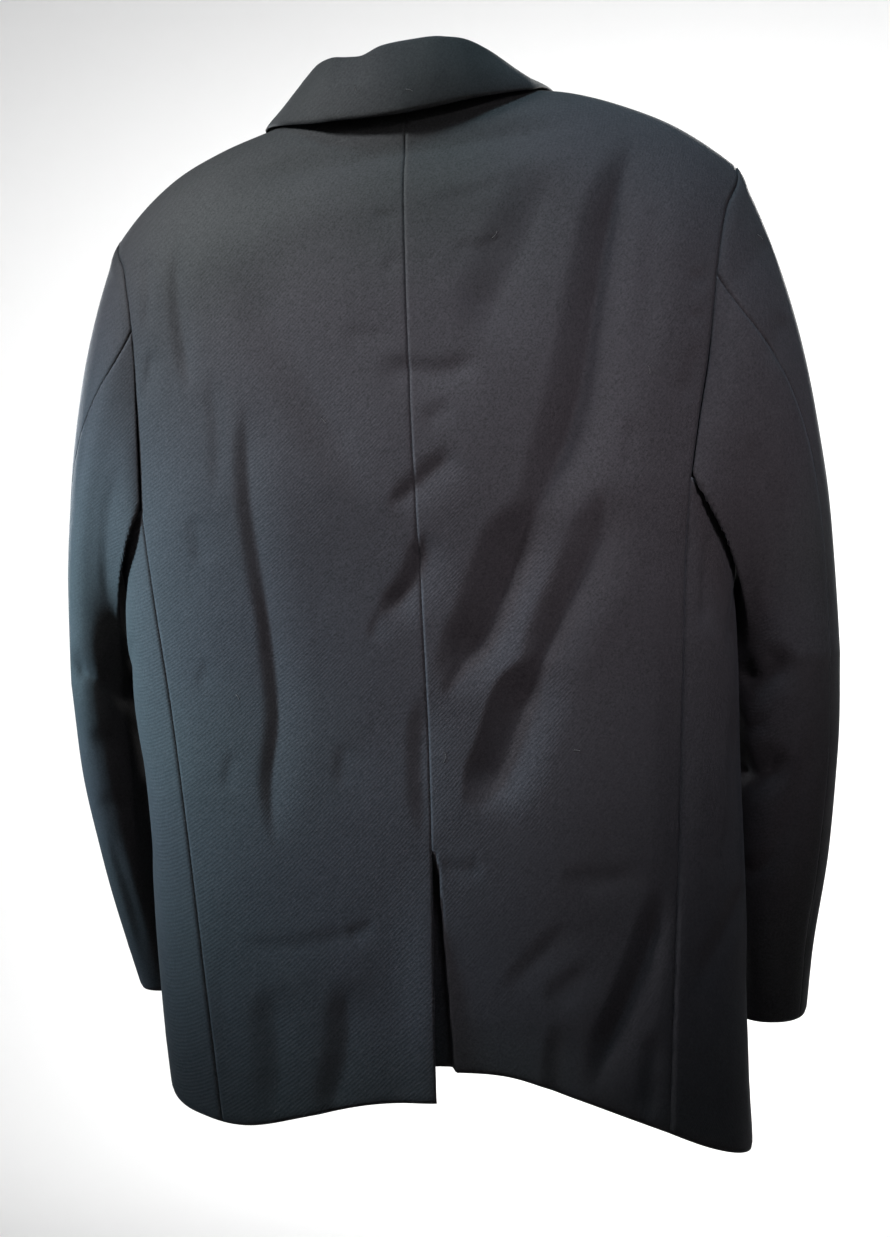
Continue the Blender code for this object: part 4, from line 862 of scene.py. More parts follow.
def sleeve_grid(side, which, rows, columns):
    """The top or under sleeve. The hindarm seam swings outwards on its way down to the elbow."""
    share, across = np.linspace(0, 1, rows)[:, None], np.linspace(0, 1, columns)[None, :]
    hindarm = blend(HINDARM_TOP, HINDARM_LOW[side], ease(share / SEAM_SWING_SHARE))
    if which == "top":
        behind, before = blend(hindarm, TIP_ANGLE, across * 2), blend(TIP_ANGLE, FOREARM, across * 2 - 1)
        angle = np.where(across < 0.5, behind, before)
    else:
        angle = blend(FOREARM, 360 + hindarm, across)
    angle = np.broadcast_to(angle, (rows, columns))
    wrapped = np.where(angle > 360 + BACK_SEAM_ANGLE, angle - 360, angle)
    return sleeve_points(wrapped, np.broadcast_to(share, angle.shape), side)


def shoulder_top(x, y, side):
    """The height of the torso's wall above a place near the shoulders."""
    rolled = np.clip(np.abs(y) / wall_depth(x, 0.0, side, "back" if y > 0 else "front"), 0, 1)
    return ridge_height(x, side) - ROLL_HEIGHT * (1 - np.sqrt(1 - rolled**2))


def laid_on_wall(place, side):
    """The place, lifted off the torso's wall where it would come too close to it."""
    x, y, z = place
    on_wall = wall(np.array(abs(x)), np.array(z), side, "back" if y > 0 else "front")[1]
    if abs(y) > COLLAR_STEEP_Y and z < ridge_height(abs(x), side) - COLLAR_BELOW_RIDGE:
        y = math.copysign(max(abs(y), abs(on_wall) + COLLAR_LIFT * LAYER), y)
    else:
        z = max(z, shoulder_top(abs(x), y, side) + COLLAR_LIFT * LAYER)
    return np.array([x, y, z])


def collar_seam(around, side):
    """The neck seam: along the back's neckline to the shoulder, then down the front's edge to the gorge."""
    if around <= 1:
        x = np.array(NECK_HALF * around)
        return wall(x, neckline_or_ridge(x, side) + COLLAR_SEAM_GAP, side, "back")
    z = blend(ridge_height(NECK_HALF, side), GORGE_Z, (around - 1) ** 2)
    return wall(inner_x(z, side, "front") - COLLAR_SEAM_GAP, z, side, "front")


def collar_section(around, side):
    """The collar's section at one place round the neck: up inside, over the fold, down to the edge."""
    seam = collar_seam(around, side)
    fold, edge = (
        points(*(column(COLLAR_ROWS[side], f"{part}_{axis}", around) for axis in "xyz"))
        for part in ("fold", "edge")
    )
    fold[0] *= side
    edge[0] *= side
    outwards = edge - seam
    outwards[2] = 0
    outwards /= np.linalg.norm(outwards)
    edge = edge + outwards * COLLAR_STAND * ease((COLLAR_STAND_END - around) / COLLAR_STAND_FADE)
    up = points(0, 0, 1.0)
    inside = [blend(seam, fold, share) for share in COLLAR_INSIDE_SHARES]
    over = [fold, fold + outwards * COLLAR_TURN + up * COLLAR_TURN_HIGH, fold + outwards * COLLAR_TURN_OVER]
    outside = [
        blend(over[-1], edge, share) + outwards * COLLAR_BULGE * math.sin(math.pi * share)
        for share in COLLAR_OUTSIDE_SHARES
    ]
    if around == COLLAR_END:
        notch = points(NOTCH_X * side, edge[1], NOTCH_Z)
        outside = [blend(over[-1], notch, share) for share in COLLAR_NOTCH_SHARES] + [edge]
    return np.array(inside + over + [laid_on_wall(place, side) for place in outside])


def collar_grid(stations, columns):
    """The collar round the whole neck, from the right front's gorge to the left one's."""
    at = np.linspace(-COLLAR_END, COLLAR_END, stations)
    grid = np.array([collar_section(abs(a), LEFT if a >= 0 else RIGHT) for a in at])
    near = bell(at[1:-1] / COLLAR_SMOOTH_WIDE)[:, None, None]
    for _ in range(COLLAR_SMOOTHINGS):
        grid[1:-1] = blend(grid[1:-1], (grid[:-2] + grid[1:-1] + grid[2:]) / 3, near)
    # More points across, on smooth curves through the ones above.
    places, fine = np.arange(grid.shape[1]), np.linspace(0, grid.shape[1] - 1, columns)
    sections = [[smooth(places, row[:, axis], fine) for axis in range(3)] for row in grid]
    return np.moveaxis(np.array(sections), 1, -1)


def lapel_grid(side, rows, columns):
    """The lapel: a tight turn at the front's edge, then a layer that lies on the chest."""
    up, across = np.linspace(0, 1, rows), np.linspace(0, 1, columns)[None, :]
    roll_z = blend(BREAK_Z, LAPEL_TOP_Z, up)
    roll_x = inner_x(roll_z, side, "front")
    below_tip = up <= LAPEL_TIP_SHARE
    edge_z = blend(BREAK_Z, LAPEL_EDGE[-1].z, up / LAPEL_TIP_SHARE)
    edge_z = np.where(below_tip, edge_z, NOTCH_Z - GORGE_GAP)
    edge_x = np.where(below_tip, column(LAPEL_EDGE, "x", edge_z), NOTCH_X - GORGE_GAP)
    x = blend(roll_x[:, None], edge_x[:, None] + LAPEL_EDGE_OUT, across)
    z = blend(roll_z[:, None], edge_z[:, None], across)
    flat = front_wall(x, z, side)
    layer = flat.copy()
    sprung = np.exp(-across * LAPEL_SPRING_FADE) * ease((z - LAPEL_SPRING_Z) / LAPEL_SPRING_RUN)
    layer[..., 1] -= LAYER + LAPEL_SPRING * sprung
    turns = []
    for angle in np.radians(np.linspace(*LAPEL_TURN_ANGLES)):
        turn = flat[:, :1].copy()
        turn[..., 0] -= side * LAYER * LAPEL_TURN_OUT * math.cos(angle)
        turn[..., 1] -= LAYER * LAPEL_TURN_DEEP * (1 + math.sin(angle))
        turns.append(turn)
    return np.concatenate([*turns, layer], axis=1)


def strip_grid(side, first_x, last_x, columns, rows, height, lift):
    """A strip that lies on a front, with a height and a lift for each of its points."""
    x, share = np.linspace(first_x, last_x, columns)[None, :], np.linspace(0, 1, rows)[:, None]
    x, share = np.broadcast_arrays(x, share)
    return moved_out(front_wall(x, height(x, share), side), lift(share))


def flap_line(x):
    """The top of a pocket flap, which rises outwards."""
    return FLAP_TOP_Z + (x - FLAP_INNER_X) * FLAP_SLANT


def uneven(along, first):
    """A soft unevenness between about -1 and 1 that doesn't repeat over the length of a seam."""
    total = 0.0
    for high, pace, start, follows in SEAM_WAVES:
        total = total + high * np.sin(along * pace + start + first * follows)
    return total / SEAM_WAVES_HIGH


def lengths_along(grid, axis):
    """How far each point lies from the first edge, measured on the cloth."""
    steps = np.linalg.norm(np.diff(grid, axis=axis), axis=-1)
    none = np.zeros_like(np.take(steps, [0], axis=axis))
    return np.concatenate([none, np.cumsum(steps, axis=axis)], axis=axis)


def from_edges(grid):
    """The distance of each point from the first row, last row, first column and last column."""
    down, across = lengths_along(grid, 0), lengths_along(grid, 1)
    return {"low": down, "high": down[-1:] - down, "first": across, "last": across[:, -1:] - across}


def finished(grid, seams=(), hems=(), middle=None, first=0.0):
    """The cloth drawn in along its seams, with a slight pucker, and turned under at its hems."""
    dip = bpy.context.scene.blazer_sizes.seam_dip / CM
    gone = from_edges(grid)
    along = {edge: gone["low" if edge in ("first", "last") else "first"] for edge in gone}
    drawn, marks = np.zeros(grid.shape[:2]), np.zeros(grid.shape[:2])
    for edge in seams:
        pucker = 1 + PUCKER_SHARE * uneven(along[edge] * 2 * math.pi / PUCKER_EVERY, first)
        drawn = np.maximum(drawn, dip * pucker * bell(gone[edge] / SEAM_WIDE))
    for edge in hems:
        drawn = np.maximum(drawn, dip * HEM_DIP * bell(gone[edge] / HEM_WIDE))
        mark = HEM_MARK * (1 + HEM_MARK_UNEVEN * uneven(along[edge] * HEM_MARK_PACE, first))
        marks += mark * bell((gone[edge] - HEM_TURN_UP) / HEM_MARK_WIDE)
    return moved_out(grid, marks - drawn, middle)


def counts(kind, spacing=SPACING):
    """How many points a kind of piece has along each of its lengths."""
    return [int(round(length / spacing)) + 1 for length in LENGTHS[kind]]


def linked(name, data, material):
    """A new object in the scene, in place of an older one of its name."""
    if name in bpy.data.objects:
        bpy.data.objects.remove(bpy.data.objects[name])
    obj = bpy.data.objects.new(name, data)
    bpy.context.scene.collection.objects.link(obj)
    if material:
        data.materials.append(material)
    return obj


def cloth(name, grid, nodes, keep=None, held="hung", rests_on=(), trims=()):
    """A thin shell on these points, in the place of its solid."""
    rows, columns = grid.shape[:2]
    index = np.arange(rows * columns).reshape(rows, columns)
    corners = [index[:-1, :-1], index[:-1, 1:], index[1:, 1:], index[1:, :-1]]
    faces = np.stack(corners, axis=-1).reshape(-1, 4)
    if keep is not None:
        faces = faces[keep.reshape(-1)[faces].all(axis=1)]
    used = np.unique(faces)
    renumbered = np.zeros(rows * columns, int)
    renumbered[used] = np.arange(len(used))
    mesh = bpy.data.meshes.new(name)
    mesh.from_pydata((grid.reshape(-1, 3)[used] * CM).tolist(), [], renumbered[faces].tolist())
    mesh.shade_smooth()
    obj = linked(name, mesh, wool())
    thick = obj.modifiers.new("Cloth", "SOLIDIFY")
    thick.thickness = bpy.context.scene.blazer_sizes.cloth
    thick.offset = 0
    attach(obj, "root")
    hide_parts(*nodes)
    if held is None:
        return obj
    return obj


def turned(name, profile, steps, place):
    """A mesh turned from a profile of radii and heights, then moved to its place."""
    bm = bmesh.new()
    ring = [bm.verts.new((radius, 0, height)) for radius, height in profile]
    edges = [bm.edges.new(pair) for pair in zip(ring, ring[1:])]
    round_z = {"cent": (0, 0, 0), "axis": (0, 0, 1), "angle": 2 * math.pi}
    bmesh.ops.spin(bm, geom=ring + edges, steps=steps, use_duplicate=False, **round_z)
    bmesh.ops.remove_doubles(bm, verts=bm.verts, dist=TURNED_JOIN)
    bmesh.ops.recalc_face_normals(bm, faces=bm.faces)
    bm.transform(place)
    mesh = bpy.data.meshes.new(name)
    bm.to_mesh(mesh)
    bm.free()
    mesh.shade_smooth()
    return mesh


def fill(node, values):
    """Sets the inputs of these names on a shader node, or else its own settings."""
    for key, value in values.items():
        if key in node.inputs:
            node.inputs[key].default_value = value
        else:
            setattr(node, key, value)


def shader(name):
    """The material of this name with only its Principled shader, and makers of nodes and links for it."""
    made = bpy.data.materials.get(name) or bpy.data.materials.new(name)
    made.use_nodes = True
    tree = made.node_tree
    surface = tree.nodes["Principled BSDF"]
    for old in list(tree.nodes):
        if old.type not in ("BSDF_PRINCIPLED", "OUTPUT_MATERIAL"):
            tree.nodes.remove(old)

    def node(kind, **values):
        new = tree.nodes.new(kind)
        fill(new, values)
        return new

    def link(source, output, target, entry):
        tree.links.new(source.outputs[output], target.inputs[entry])

    return made, surface, node, link


def wool():
    """Worsted wool, shared by all the cloth: a fine diagonal weave, a faint nap and slightly uneven dye."""
    colours = bpy.context.scene.blazer_colours
    made, surface, node, link = shader("worsted_wool")
    place = node("ShaderNodeTexCoord")
    dye = node("ShaderNodeTexNoise", Scale=6.0, Detail=4.0, Roughness=0.6)
    cast = node("ShaderNodeTexNoise", Scale=3.4, Detail=1.5, Roughness=0.5)
    fibre = node("ShaderNodeTexNoise", Scale=620.0, Detail=3.0, Roughness=0.75)
    worn = node("ShaderNodeTexNoise", Scale=34.0, Detail=3.0, Roughness=0.55)
    twill = node("ShaderNodeTexWave", Scale=210.0, Distortion=1.6, Detail=2.0, bands_direction="DIAGONAL")
    for texture in (dye, cast, fibre, worn, twill):
        link(place, "Object", texture, "Vector")
    dark, light = ((*(c * share for c in colours.wool), 1) for share in DYE_SHARES)
    dyed = node("ShaderNodeMixRGB", Color1=dark, Color2=light)
    link(dye, "Fac", dyed, "Fac")
    flecks = {"From Min": 0.32, "From Max": 0.68, "To Min": 0.55, "To Max": 1.5}
    heather = node("ShaderNodeMapRange", **flecks)
    link(fibre, "Fac", heather, "Value")
    leaning = node("ShaderNodeMapRange", **{"From Min": 0.40, "From Max": 0.60})
    link(cast, "Fac", leaning, "Value")
    tints = node("ShaderNodeMixRGB", Color1=TINT_GREEN, Color2=TINT_PLUM)
    link(leaning, "Result", tints, "Fac")
    tinted = node("ShaderNodeMixRGB", blend_type="MULTIPLY", Fac=1.0)
    link(dyed, "Color", tinted, "Color1")
    link(tints, "Color", tinted, "Color2")
    flecked = node("ShaderNodeMixRGB", blend_type="MULTIPLY", Fac=1.0)
    link(tinted, "Color", flecked, "Color1")
    link(heather, "Result", flecked, "Color2")
    link(flecked, "Color", surface, "Base Color")
    fill(surface, {"Roughness": 0.78, "Specular IOR Level": 0.07})
    fill(surface, {"Sheen Weight": 0.02, "Sheen Roughness": 0.45, "Sheen Tint": (*colours.sheen, 1)})
    last = None
    for texture, strength, distance in ((worn, 0.6, 0.0009), (twill, 0.25, 0.0003), (fibre, 0.3, 0.0004)):
        bump = node("ShaderNodeBump", Strength=strength, Distance=distance)
        link(texture, "Fac", bump, "Height")
        if last:
            link(last, "Normal", bump, "Normal")
        last = bump
    link(last, "Normal", surface, "Normal")
    return made


def plain(name, colour, roughness):
    """An even finish, such as thread, lint or the floor's."""
    made, surface, _, _ = shader(name)
    fill(surface, {"Base Color": (*colour, 1), "Roughness": roughness})
    return made


def horn():
    """Dark horn with a cloudy grain."""
    dark = bpy.context.scene.blazer_colours.button
    made, surface, node, link = shader("dark_horn")
    place = node("ShaderNodeTexCoord")
    cloud = node("ShaderNodeTexNoise", Scale=160.0, Detail=5.0, Distortion=1.2)
    grain = node("ShaderNodeMixRGB", Color1=(*dark, 1), Color2=(*(c * HORN_LIGHT for c in dark), 1))
    link(place, "Object", cloud, "Vector")
    link(cloud, "Fac", grain, "Fac")
    link(grain, "Color", surface, "Base Color")
    fill(surface, {"Roughness": 0.32})
    return made


def cords(name, paths, radius, material, closed=False):
    """Thin cords, threads or fibres through these points, as one piece."""
    curve = bpy.data.curves.new(name, "CURVE")
    curve.dimensions = "3D"
    curve.bevel_depth = radius * CM
    curve.bevel_resolution = 1
    curve.resolution_u = 6
    for path in paths:
        spline = curve.splines.new("BEZIER")
        spline.bezier_points.add(len(path) - 1)
        spline.use_cyclic_u = closed
        for bezier, place in zip(spline.bezier_points, path):
            bezier.co = Vector(place) * CM
            bezier.handle_left_type = bezier.handle_right_type = "AUTO"
    obj = linked(name, curve, material)
    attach(obj, "root")


def on_piece(piece, x, z, front, lift):
    """The place on the outside of a built piece at this x and z, in centimetres, lifted off it."""
    ahead = 1 if front else -1
    start, aim = Vector((x * CM, -ahead * RAY_START, z * CM)), Vector((0, ahead, 0))
    graph = bpy.context.evaluated_depsgraph_get()
    shown = bpy.data.objects[piece].evaluated_get(graph)
    hit, place, normal, _ = shown.ray_cast(start, aim)
    if not hit:
        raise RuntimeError(f"nothing of {piece} at x {x}, z {z}")
    return np.array(place + normal * lift * CM) / CM


def button_back(z):
    """The depth at which a button's back lies, just off the front that it is sewn to."""
    return wall(np.array(0.0), np.array(z), LEFT, "front")[1] - STEP_OUT - CLOTH / 2 - BUTTON_OFF_CLOTH


def button(name, z):
    """A turned button with a raised rim and four holes."""
    back = button_back(z)
    place = Matrix.Translation((0, back * CM, z * CM)) @ Matrix.Rotation(math.radians(90), 4, "X")
    obj = linked(name, turned(name, BUTTON_PROFILE, BUTTON_STEPS, place @ Matrix.Scale(CM, 4)), horn())
    for k in range(4):
        angle = math.radians(45 + 90 * k)
        off_x, off_z = math.cos(angle) * BUTTON_HOLE_OUT, math.sin(angle) * BUTTON_HOLE_OUT
        bpy.ops.mesh.primitive_cylinder_add(
            vertices=BUTTON_HOLE_SIDES, radius=BUTTON_HOLE * CM, depth=BUTTON_CUT_LONG * CM,
            location=(off_x * CM, back * CM, (z + off_z) * CM), rotation=(math.radians(90), 0, 0),
        )
        cutter = bpy.context.object
        cut = obj.modifiers.new(f"Hole {k}", "BOOLEAN")
        cut.operation, cut.object = "DIFFERENCE", cutter
        bpy.context.view_layer.objects.active = obj
        bpy.ops.object.modifier_apply(modifier=cut.name)
        bpy.data.objects.remove(cutter)
    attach(obj, "root")
    return obj


def crossed_threads(z):
    """Two crossed stitches through the holes of a button."""
    back, step = button_back(z), BUTTON_HOLE_OUT / math.sqrt(2)
    face, deep = back - BUTTON_THICK * THREAD_FACE, back + THREAD_IN
    ends = [(-step, deep), (-step, face), (0, face - THREAD_ARCH), (step, face), (step, deep)]
    return [[(x, y, z + x * turn) for x, y in ends] for turn in (1, -1)]


def buttonhole(name, piece, x0, x1, z0, z1, thread):
    """The corded outline of a buttonhole: a long loop that is rounder at its outer end."""
    around = []
    for turn in np.radians(np.arange(0, 360, BUTTONHOLE_TURN)):
        share = 0.5 - 0.5 * math.cos(turn)
        z = blend(z0, z1, share) + BUTTONHOLE_TALL / 2 * math.sin(turn)
        around.append(on_piece(piece, blend(x0, x1, share), z, True, BUTTONHOLE_CORD * BUTTONHOLE_PROUD))
    cords(name, [around], BUTTONHOLE_CORD, thread, True)


def lint_path(lint):
    """A curled fibre on the piece that it has caught on."""
    sine, cosine = math.sin(math.radians(lint.turn)), math.cos(math.radians(lint.turn))
    path = []
    for share in LINT_SHARES:
        x = lint.x + cosine * lint.long * share + lint.curl * lint.long * (share * share) * sine
        z = lint.z + sine * lint.long * share - lint.curl * lint.long * (share * share) * cosine
        path.append(on_piece(f"cloth_{lint.piece}", x, z, False, LINT_LIFT))
    return path


def stage_floor():
    """A pale floor that curves up into walls all round."""
    profile = [(0.0, FLOOR_Z), (FLOOR_FLAT * 0.5, FLOOR_Z)]
    for k in range(FLOOR_CURVE_STEPS + 1):
        turn = math.radians(90 * k / FLOOR_CURVE_STEPS)
        rise = FLOOR_RISE * (1 - math.cos(turn))
        profile.append((FLOOR_FLAT + FLOOR_RISE * math.sin(turn), rise + FLOOR_Z))
    profile.append((FLOOR_FLAT + FLOOR_RISE, FLOOR_WALL + FLOOR_Z))
    floor = plain("pale_floor", bpy.context.scene.blazer_colours.floor, roughness=0.9)
    return linked("studio_floor", turned("studio_floor", profile, FLOOR_STEPS, Matrix()), floor)


def stage_lights(floor):
    """The lamps. All but the two of the backdrop light only the garment."""
    lit = bpy.data.collections.new("garment_lit")
    for obj in bpy.context.scene.objects:
        if obj.type == "MESH" and obj is not floor:
            lit.objects.link(obj)
    for light in LIGHTS:
        lamp = bpy.data.lights.new(light.name, "AREA")
        lamp.shape, lamp.size = "DISK", light.size
        lamp.energy, lamp.color = light.power, light.colour
        lamp.spread = math.radians(light.spread)
        obj = linked(light.name, lamp, None)
        obj.visible_camera = False
        turn = (Vector(light.target) - Vector(light.place)).to_track_quat("-Z", "Y")
        obj.matrix_world = Matrix.Translation(light.place) @ turn.to_matrix().to_4x4()
        if not light.name.startswith("backdrop"):
            obj.light_linking.receiver_collection = lit


def stage_world():
    """The studio's faint light from all sides."""
    scene = bpy.context.scene
    scene.world = bpy.data.worlds.new("studio")
    scene.world.use_nodes = True
    sky = scene.world.node_tree.nodes["Background"]
    fill(sky, {"Color": (*scene.blazer_colours.sky, 1), "Strength": SKY_STRENGTH})
    scene.view_settings.view_transform = "Standard"


def stage_camera():
    """The camera behind the garment, with the photo's angle, tilt and reach."""
    made = bpy.data.cameras.new("camera")
    made.sensor_fit, made.sensor_height = "VERTICAL", SENSOR
    made.lens = FOCAL_SHARE * SENSOR
    camera = linked("camera", made, None)
    right = Vector((-math.cos(CAMERA_YAW), -math.sin(CAMERA_YAW), 0.0))
    ahead = Vector((math.sin(CAMERA_YAW), -math.cos(CAMERA_YAW), 0.0))
    up = Vector((0.0, 0.0, 1.0))
    place = Vector((0.0, 0.0, CAMERA_Z)) - ahead * CAMERA_AWAY
    c, s = math.cos(CAMERA_ROLL), math.sin(CAMERA_ROLL)
    axes = Matrix((right * c - up * s, right * s + up * c, -ahead)).transposed()
    camera.matrix_world = Matrix.Translation(place) @ axes.to_4x4()
    bpy.context.scene.camera = camera


class BlazerSizes(bpy.types.PropertyGroup):
    """Sizes that a maker would change."""

    cloth: FloatProperty(
        name="Cloth", description="Thickness of the cloth", unit="LENGTH",
        default=0.0014, min=0.0005, max=0.003,
    )
    seam_dip: FloatProperty(
        name="Seam dip", description="How far the cloth dips in at a seam", unit="LENGTH",
        default=0.00025, min=0,
    )
    crease: FloatProperty(
        name="Creases", description="Depth of the folds, as a share of the worn garment's", subtype="FACTOR",
        default=1.0,
    )


class BlazerColours(bpy.types.PropertyGroup):
    """Colours of the cloth, the trimmings and the studio."""

    wool: FloatVectorProperty(
        name="Wool", description="Dyed worsted wool", default=(0.0119, 0.0112, 0.0119), subtype="COLOR"
    )
    sheen: FloatVectorProperty(
        name="Sheen", description="The nap's soft shine", default=(0.42, 0.50, 0.62), subtype="COLOR"
    )
    button: FloatVectorProperty(
        name="Buttons", description="Dark horn", default=(0.012, 0.011, 0.011), subtype="COLOR"
    )
    thread: FloatVectorProperty(
        name="Thread", description="Thread and buttonhole cord", default=(0.02, 0.022, 0.03), subtype="COLOR"
    )
    lint: FloatVectorProperty(
        name="Lint", description="Pale fibres caught on the cloth", default=(0.5, 0.5, 0.5), subtype="COLOR"
    )
    floor: FloatVectorProperty(
        name="Floor", description="Studio floor", default=(0.88, 0.88, 0.88), subtype="COLOR"
    )
    sky: FloatVectorProperty(
        name="Studio", description="Light of the studio around", default=(1.0, 1.0, 1.0), subtype="COLOR"
    )


class BLAZER_OT_backs(bpy.types.Operator):
    """Build the two back panels with the centre vent"""

    bl_idname = "blazer.backs"
    bl_label = "Backs"

    def execute(self, context):
        fine = counts("back", BACK_SPACING)
        left = back_grid(LEFT, *fine)
        lifted = ease((VENT_TOP_Z - left[..., 2]) / VENT_FLAP_TALL)
        lifted = lifted * bell(from_edges(left)["first"] / VENT_FLAP_WIDE)
        left[..., 1] += VENT_FLAP_LIFT * lifted
        left = pulled_in(left, first_row=False)
        left = finished(left, ("first", "last", "high"), ("low",), first=PUCKER_STARTS["back_left"])
        cloth("cloth_back_left", left, ["back_left"])
        right = pulled_in(back_grid(RIGHT, *fine), first_row=False)
        right = finished(right, ("last", "high"), ("low",), first=PUCKER_STARTS["back_right"])
        dip = -context.scene.blazer_sizes.seam_dip / CM * CENTRE_DIP_SHARE
        seam = dip * bell(from_edges(right)["first"] / SEAM_WIDE)
        right = moved_out(right, seam * ease((right[..., 2] - VENT_TOP_Z) / CENTRE_DIP_FADE))
        # The underlap's columns come before the panel's, and are left out above the vent.
        flap = vent_grid(RIGHT, fine[0])[:, ::-1]
        spare = np.repeat(right[:, :1], flap.shape[1], axis=1)
        spare[: len(flap)] = flap
        keep = np.ones((len(right), flap.shape[1] + right.shape[1]), bool)
        keep[len(flap) :, : flap.shape[1]] = False
        cloth("cloth_back_right", np.concatenate([spare, right], axis=1), ["back_right"], keep)
        return {"FINISHED"}


class BLAZER_OT_sides(bpy.types.Operator):
    """Build the side bodies under the arms"""

    bl_idname = "blazer.sides"
    bl_label = "Side bodies"

    def execute(self, context):
        for word, side in SIDES.items():
            grid = pulled_in(side_grid(side, *counts("side")), first_row=False)
            grid = finished(grid, ("first", "last", "high"), ("low",), first=side)
            cloth(f"cloth_side_{word}", grid, [f"side_{word}"])
        return {"FINISHED"}


class BLAZER_OT_fronts(bpy.types.Operator):
    """Build the two fronts, left over right"""

    bl_idname = "blazer.fronts"
    bl_label = "Fronts"

    def execute(self, context):
        for word, side in SIDES.items():
            grid = pulled_in(front_grid(side, *counts("front")), first_row=False)
            grid = finished(grid, ("last", "high"), ("low", "first"), first=PUCKER_STARTS["front"] * side)
            cloth(f"cloth_front_{word}", grid, [f"front_{word}"])
        return {"FINISHED"}


class BLAZER_OT_lapels(bpy.types.Operator):
    """Build the turned-back lapels"""

    bl_idname = "blazer.lapels"
    bl_label = "Lapels"

    def execute(self, context):
        for word, side in SIDES.items():
            grid = lapel_grid(side, *counts("lapel"))
            grid = finished(grid, hems=("last", "high"), first=PUCKER_STARTS["lapel"] * side)
            on = [f"cloth_front_{word}"]
            cloth(f"cloth_lapel_{word}", grid, [f"lapel_{word}"], held="folded", rests_on=on)
        return {"FINISHED"}


class BLAZER_OT_sleeves(bpy.types.Operator):
    """Build the top and under sleeves"""

    bl_idname = "blazer.sleeves"
    bl_label = "Sleeves"

    def execute(self, context):
        for word, side in SIDES.items():
            for which in ("top", "under"):
                rows, columns = counts(which)
                grid = pulled_in(sleeve_grid(side, which, rows, columns // 2 * 2 + 1), last_row=False)
                middle = sleeve_middle(grid[..., 2], side)
                grid = finished(grid, ("first", "last", "low"), ("high",), middle, which == "top")
                if which == "top":
                    over = np.clip(grid[..., 2] - HEAD_LOW_Z, 0, HEAD_FADE) / HEAD_FADE
                    full = HEAD_FULLNESS * over * bell((from_edges(grid)["low"] - HEAD_AWAY) / HEAD_WIDE)
                    grid = moved_out(grid, full, middle)
                cloth(f"cloth_{which}_sleeve_{word}", grid, [f"{which}_sleeve_{word}"])
        return {"FINISHED"}


class BLAZER_OT_collar(bpy.types.Operator):
    """Build the folded collar"""

    bl_idname = "blazer.collar"
    bl_label = "Collar"

    def execute(self, context):
        grid = collar_grid(*counts("collar"))
        grid = finished(grid, ("first",), ("last", "low", "high"), first=PUCKER_STARTS["collar"])
        on = ["cloth_back_left", "cloth_back_right"]
        cloth("cloth_collar", grid, ["collar"], held="folded", rests_on=on)
        return {"FINISHED"}


class BLAZER_OT_pockets(bpy.types.Operator):
    """Build the flaps, jets and breast welt"""

    bl_idname = "blazer.pockets"
    bl_label = "Pockets"

    def execute(self, context):
        columns, rows = counts("flap")
        for word, side in SIDES.items():
            flap = strip_grid(
                side, FLAP_INNER_X, FLAP_OUTER_X, columns, rows,
                lambda x, down: flap_line(x) - FLAP_TALL * down, lambda down: LAYER + FLAP_FLARE * down,
            )
            jet = strip_grid(
                side, FLAP_INNER_X, FLAP_OUTER_X, columns, JET_ROWS,
                lambda x, up: flap_line(x) + JET_ABOVE + JET_TALL * up,
                lambda up: JET_OUT * np.sin(np.pi * (JET_TURN_START + JET_TURN * up)),
            )
            flap = finished(flap, hems=("first", "last", "high"), first=side)
            jet = cloth(f"cloth_jet_{word}", finished(jet, hems=("first", "last")), [], held=None)
            on = [f"cloth_front_{word}"]
            cloth(f"cloth_flap_{word}", flap, [f"pocket_flap_{word}"], held="hung", rests_on=on, trims=[jet])
        wide = WELT_OUTER_X - WELT_INNER_X
        welt = strip_grid(
            LEFT, WELT_INNER_X, WELT_OUTER_X, *counts("welt"),
            lambda x, up: WELT_Z + WELT_TALL * up + (x - WELT_INNER_X) / wide * WELT_RISE,
            lambda up: LAYER + 0 * up,
        )
        welt = finished(welt, hems=("first", "last", "high", "low"))
        cloth("cloth_breast_welt", welt, ["breast_welt"], held="laid", rests_on=["cloth_front_left"])
        return {"FINISHED"}


class BLAZER_OT_buttons(bpy.types.Operator):
    """Build the buttons, their thread and the buttonholes"""

    bl_idname = "blazer.buttons"
    bl_label = "Buttons"

    def execute(self, context):
        thread = plain("button_thread", context.scene.blazer_colours.thread, roughness=0.8)
        end = BUTTONHOLE_START + BUTTONHOLE_LONG
        for name, z in BUTTON_HEIGHTS.items():
            made = button(f"turned_{name}", z)
            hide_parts(name)
            cords(f"thread_{name}", crossed_threads(z), THREAD_RADIUS, thread)
            buttonhole(f"buttonhole_{name}", "cloth_front_left", BUTTONHOLE_START, end, z, z, thread)
        x, z = LAPEL_HOLE_X, LAPEL_HOLE_Z
        start_x, start_z = x - LAPEL_HOLE_LONG, z - LAPEL_HOLE_SLANT
        buttonhole("buttonhole_lapel", "cloth_lapel_left", start_x, x, start_z, z, thread)
        return {"FINISHED"}


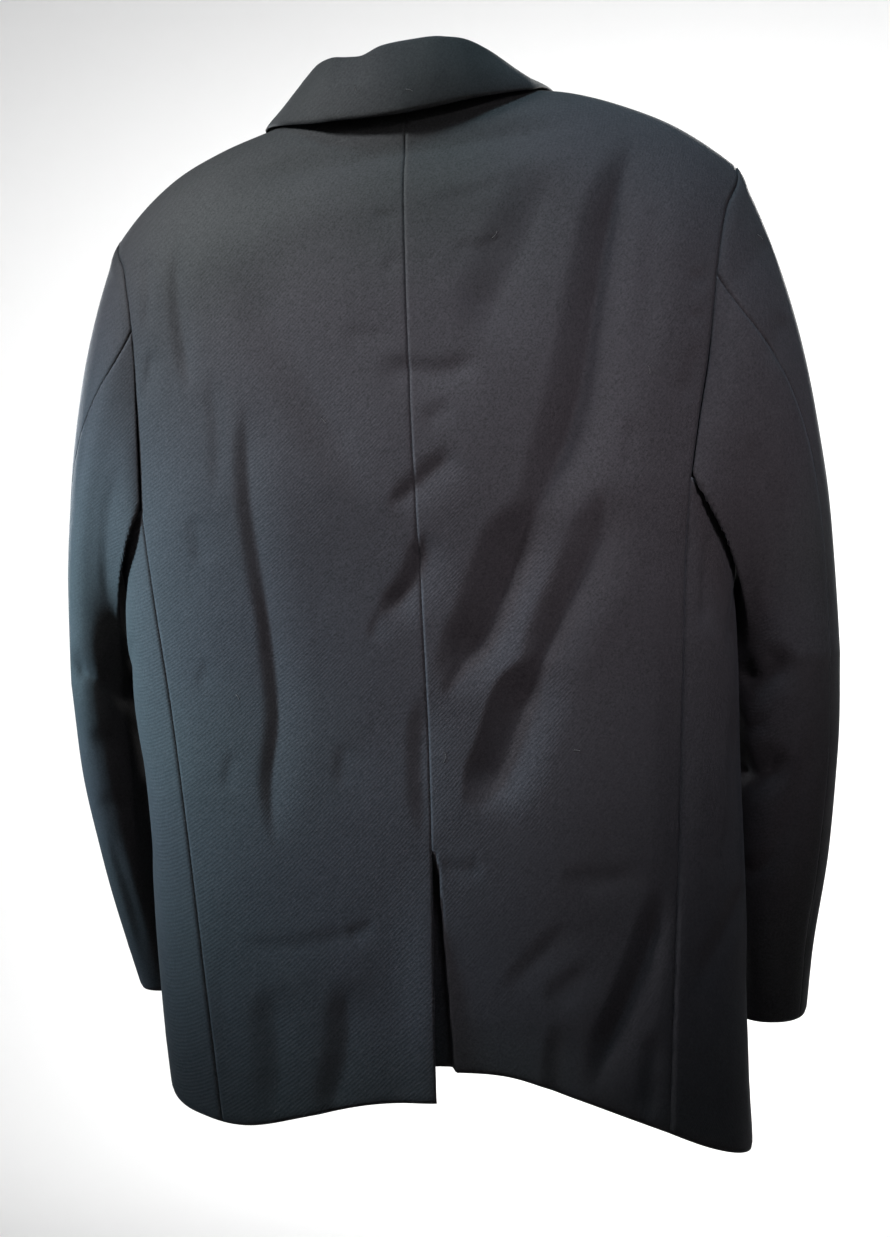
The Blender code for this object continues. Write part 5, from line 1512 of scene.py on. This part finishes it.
class BLAZER_OT_lint(bpy.types.Operator):
    """Lay a few pale fibres on the cloth"""

    bl_idname = "blazer.lint"
    bl_label = "Lint"

    def execute(self, context):
        pale = plain("lint", context.scene.blazer_colours.lint, roughness=0.9)
        cords("lint_fibres", [lint_path(lint) for lint in LINT], LINT_RADIUS, pale)
        return {"FINISHED"}


class BLAZER_OT_stage(bpy.types.Operator):
    """Set up the floor, lights and camera"""

    bl_idname = "blazer.stage"
    bl_label = "Stage"

    def execute(self, context):
        floor = stage_floor()
        stage_lights(floor)
        stage_world()
        stage_camera()
        return {"FINISHED"}


OPERATORS = (
    BLAZER_OT_backs, BLAZER_OT_sides, BLAZER_OT_fronts, BLAZER_OT_lapels, BLAZER_OT_sleeves,
    BLAZER_OT_collar, BLAZER_OT_pockets, BLAZER_OT_buttons, BLAZER_OT_lint, BLAZER_OT_stage,
)


class BLAZER_PT_pieces(bpy.types.Panel):
    """The blazer's sizes, colours and pieces."""

    bl_label = "Blazer"
    bl_idname = "BLAZER_PT_pieces"
    bl_space_type = "VIEW_3D"
    bl_region_type = "UI"
    bl_category = "Blazer"

    def draw(self, context):
        for group in (context.scene.blazer_sizes, context.scene.blazer_colours):
            for name in group.__annotations__:
                self.layout.prop(group, name)
        for made in OPERATORS:
            self.layout.operator(made.bl_idname)


CLASSES = (BlazerSizes, BlazerColours, *OPERATORS, BLAZER_PT_pieces)


def register():
    for made in CLASSES:
        bpy.utils.register_class(made)
    bpy.types.Scene.blazer_sizes = PointerProperty(type=BlazerSizes)
    bpy.types.Scene.blazer_colours = PointerProperty(type=BlazerColours)


def unregister():
    del bpy.types.Scene.blazer_colours
    del bpy.types.Scene.blazer_sizes
    for made in reversed(CLASSES):
        bpy.utils.unregister_class(made)


def main():
    """Build every piece in order."""
    register()
    bpy.ops.blazer.backs()
    bpy.ops.blazer.sides()
    bpy.ops.blazer.fronts()
    bpy.ops.blazer.lapels()
    bpy.ops.blazer.sleeves()
    bpy.ops.blazer.collar()
    bpy.ops.blazer.pockets()
    bpy.ops.blazer.buttons()
    bpy.ops.blazer.lint()
    bpy.ops.blazer.stage()


if __name__ == "__main__":
    main()
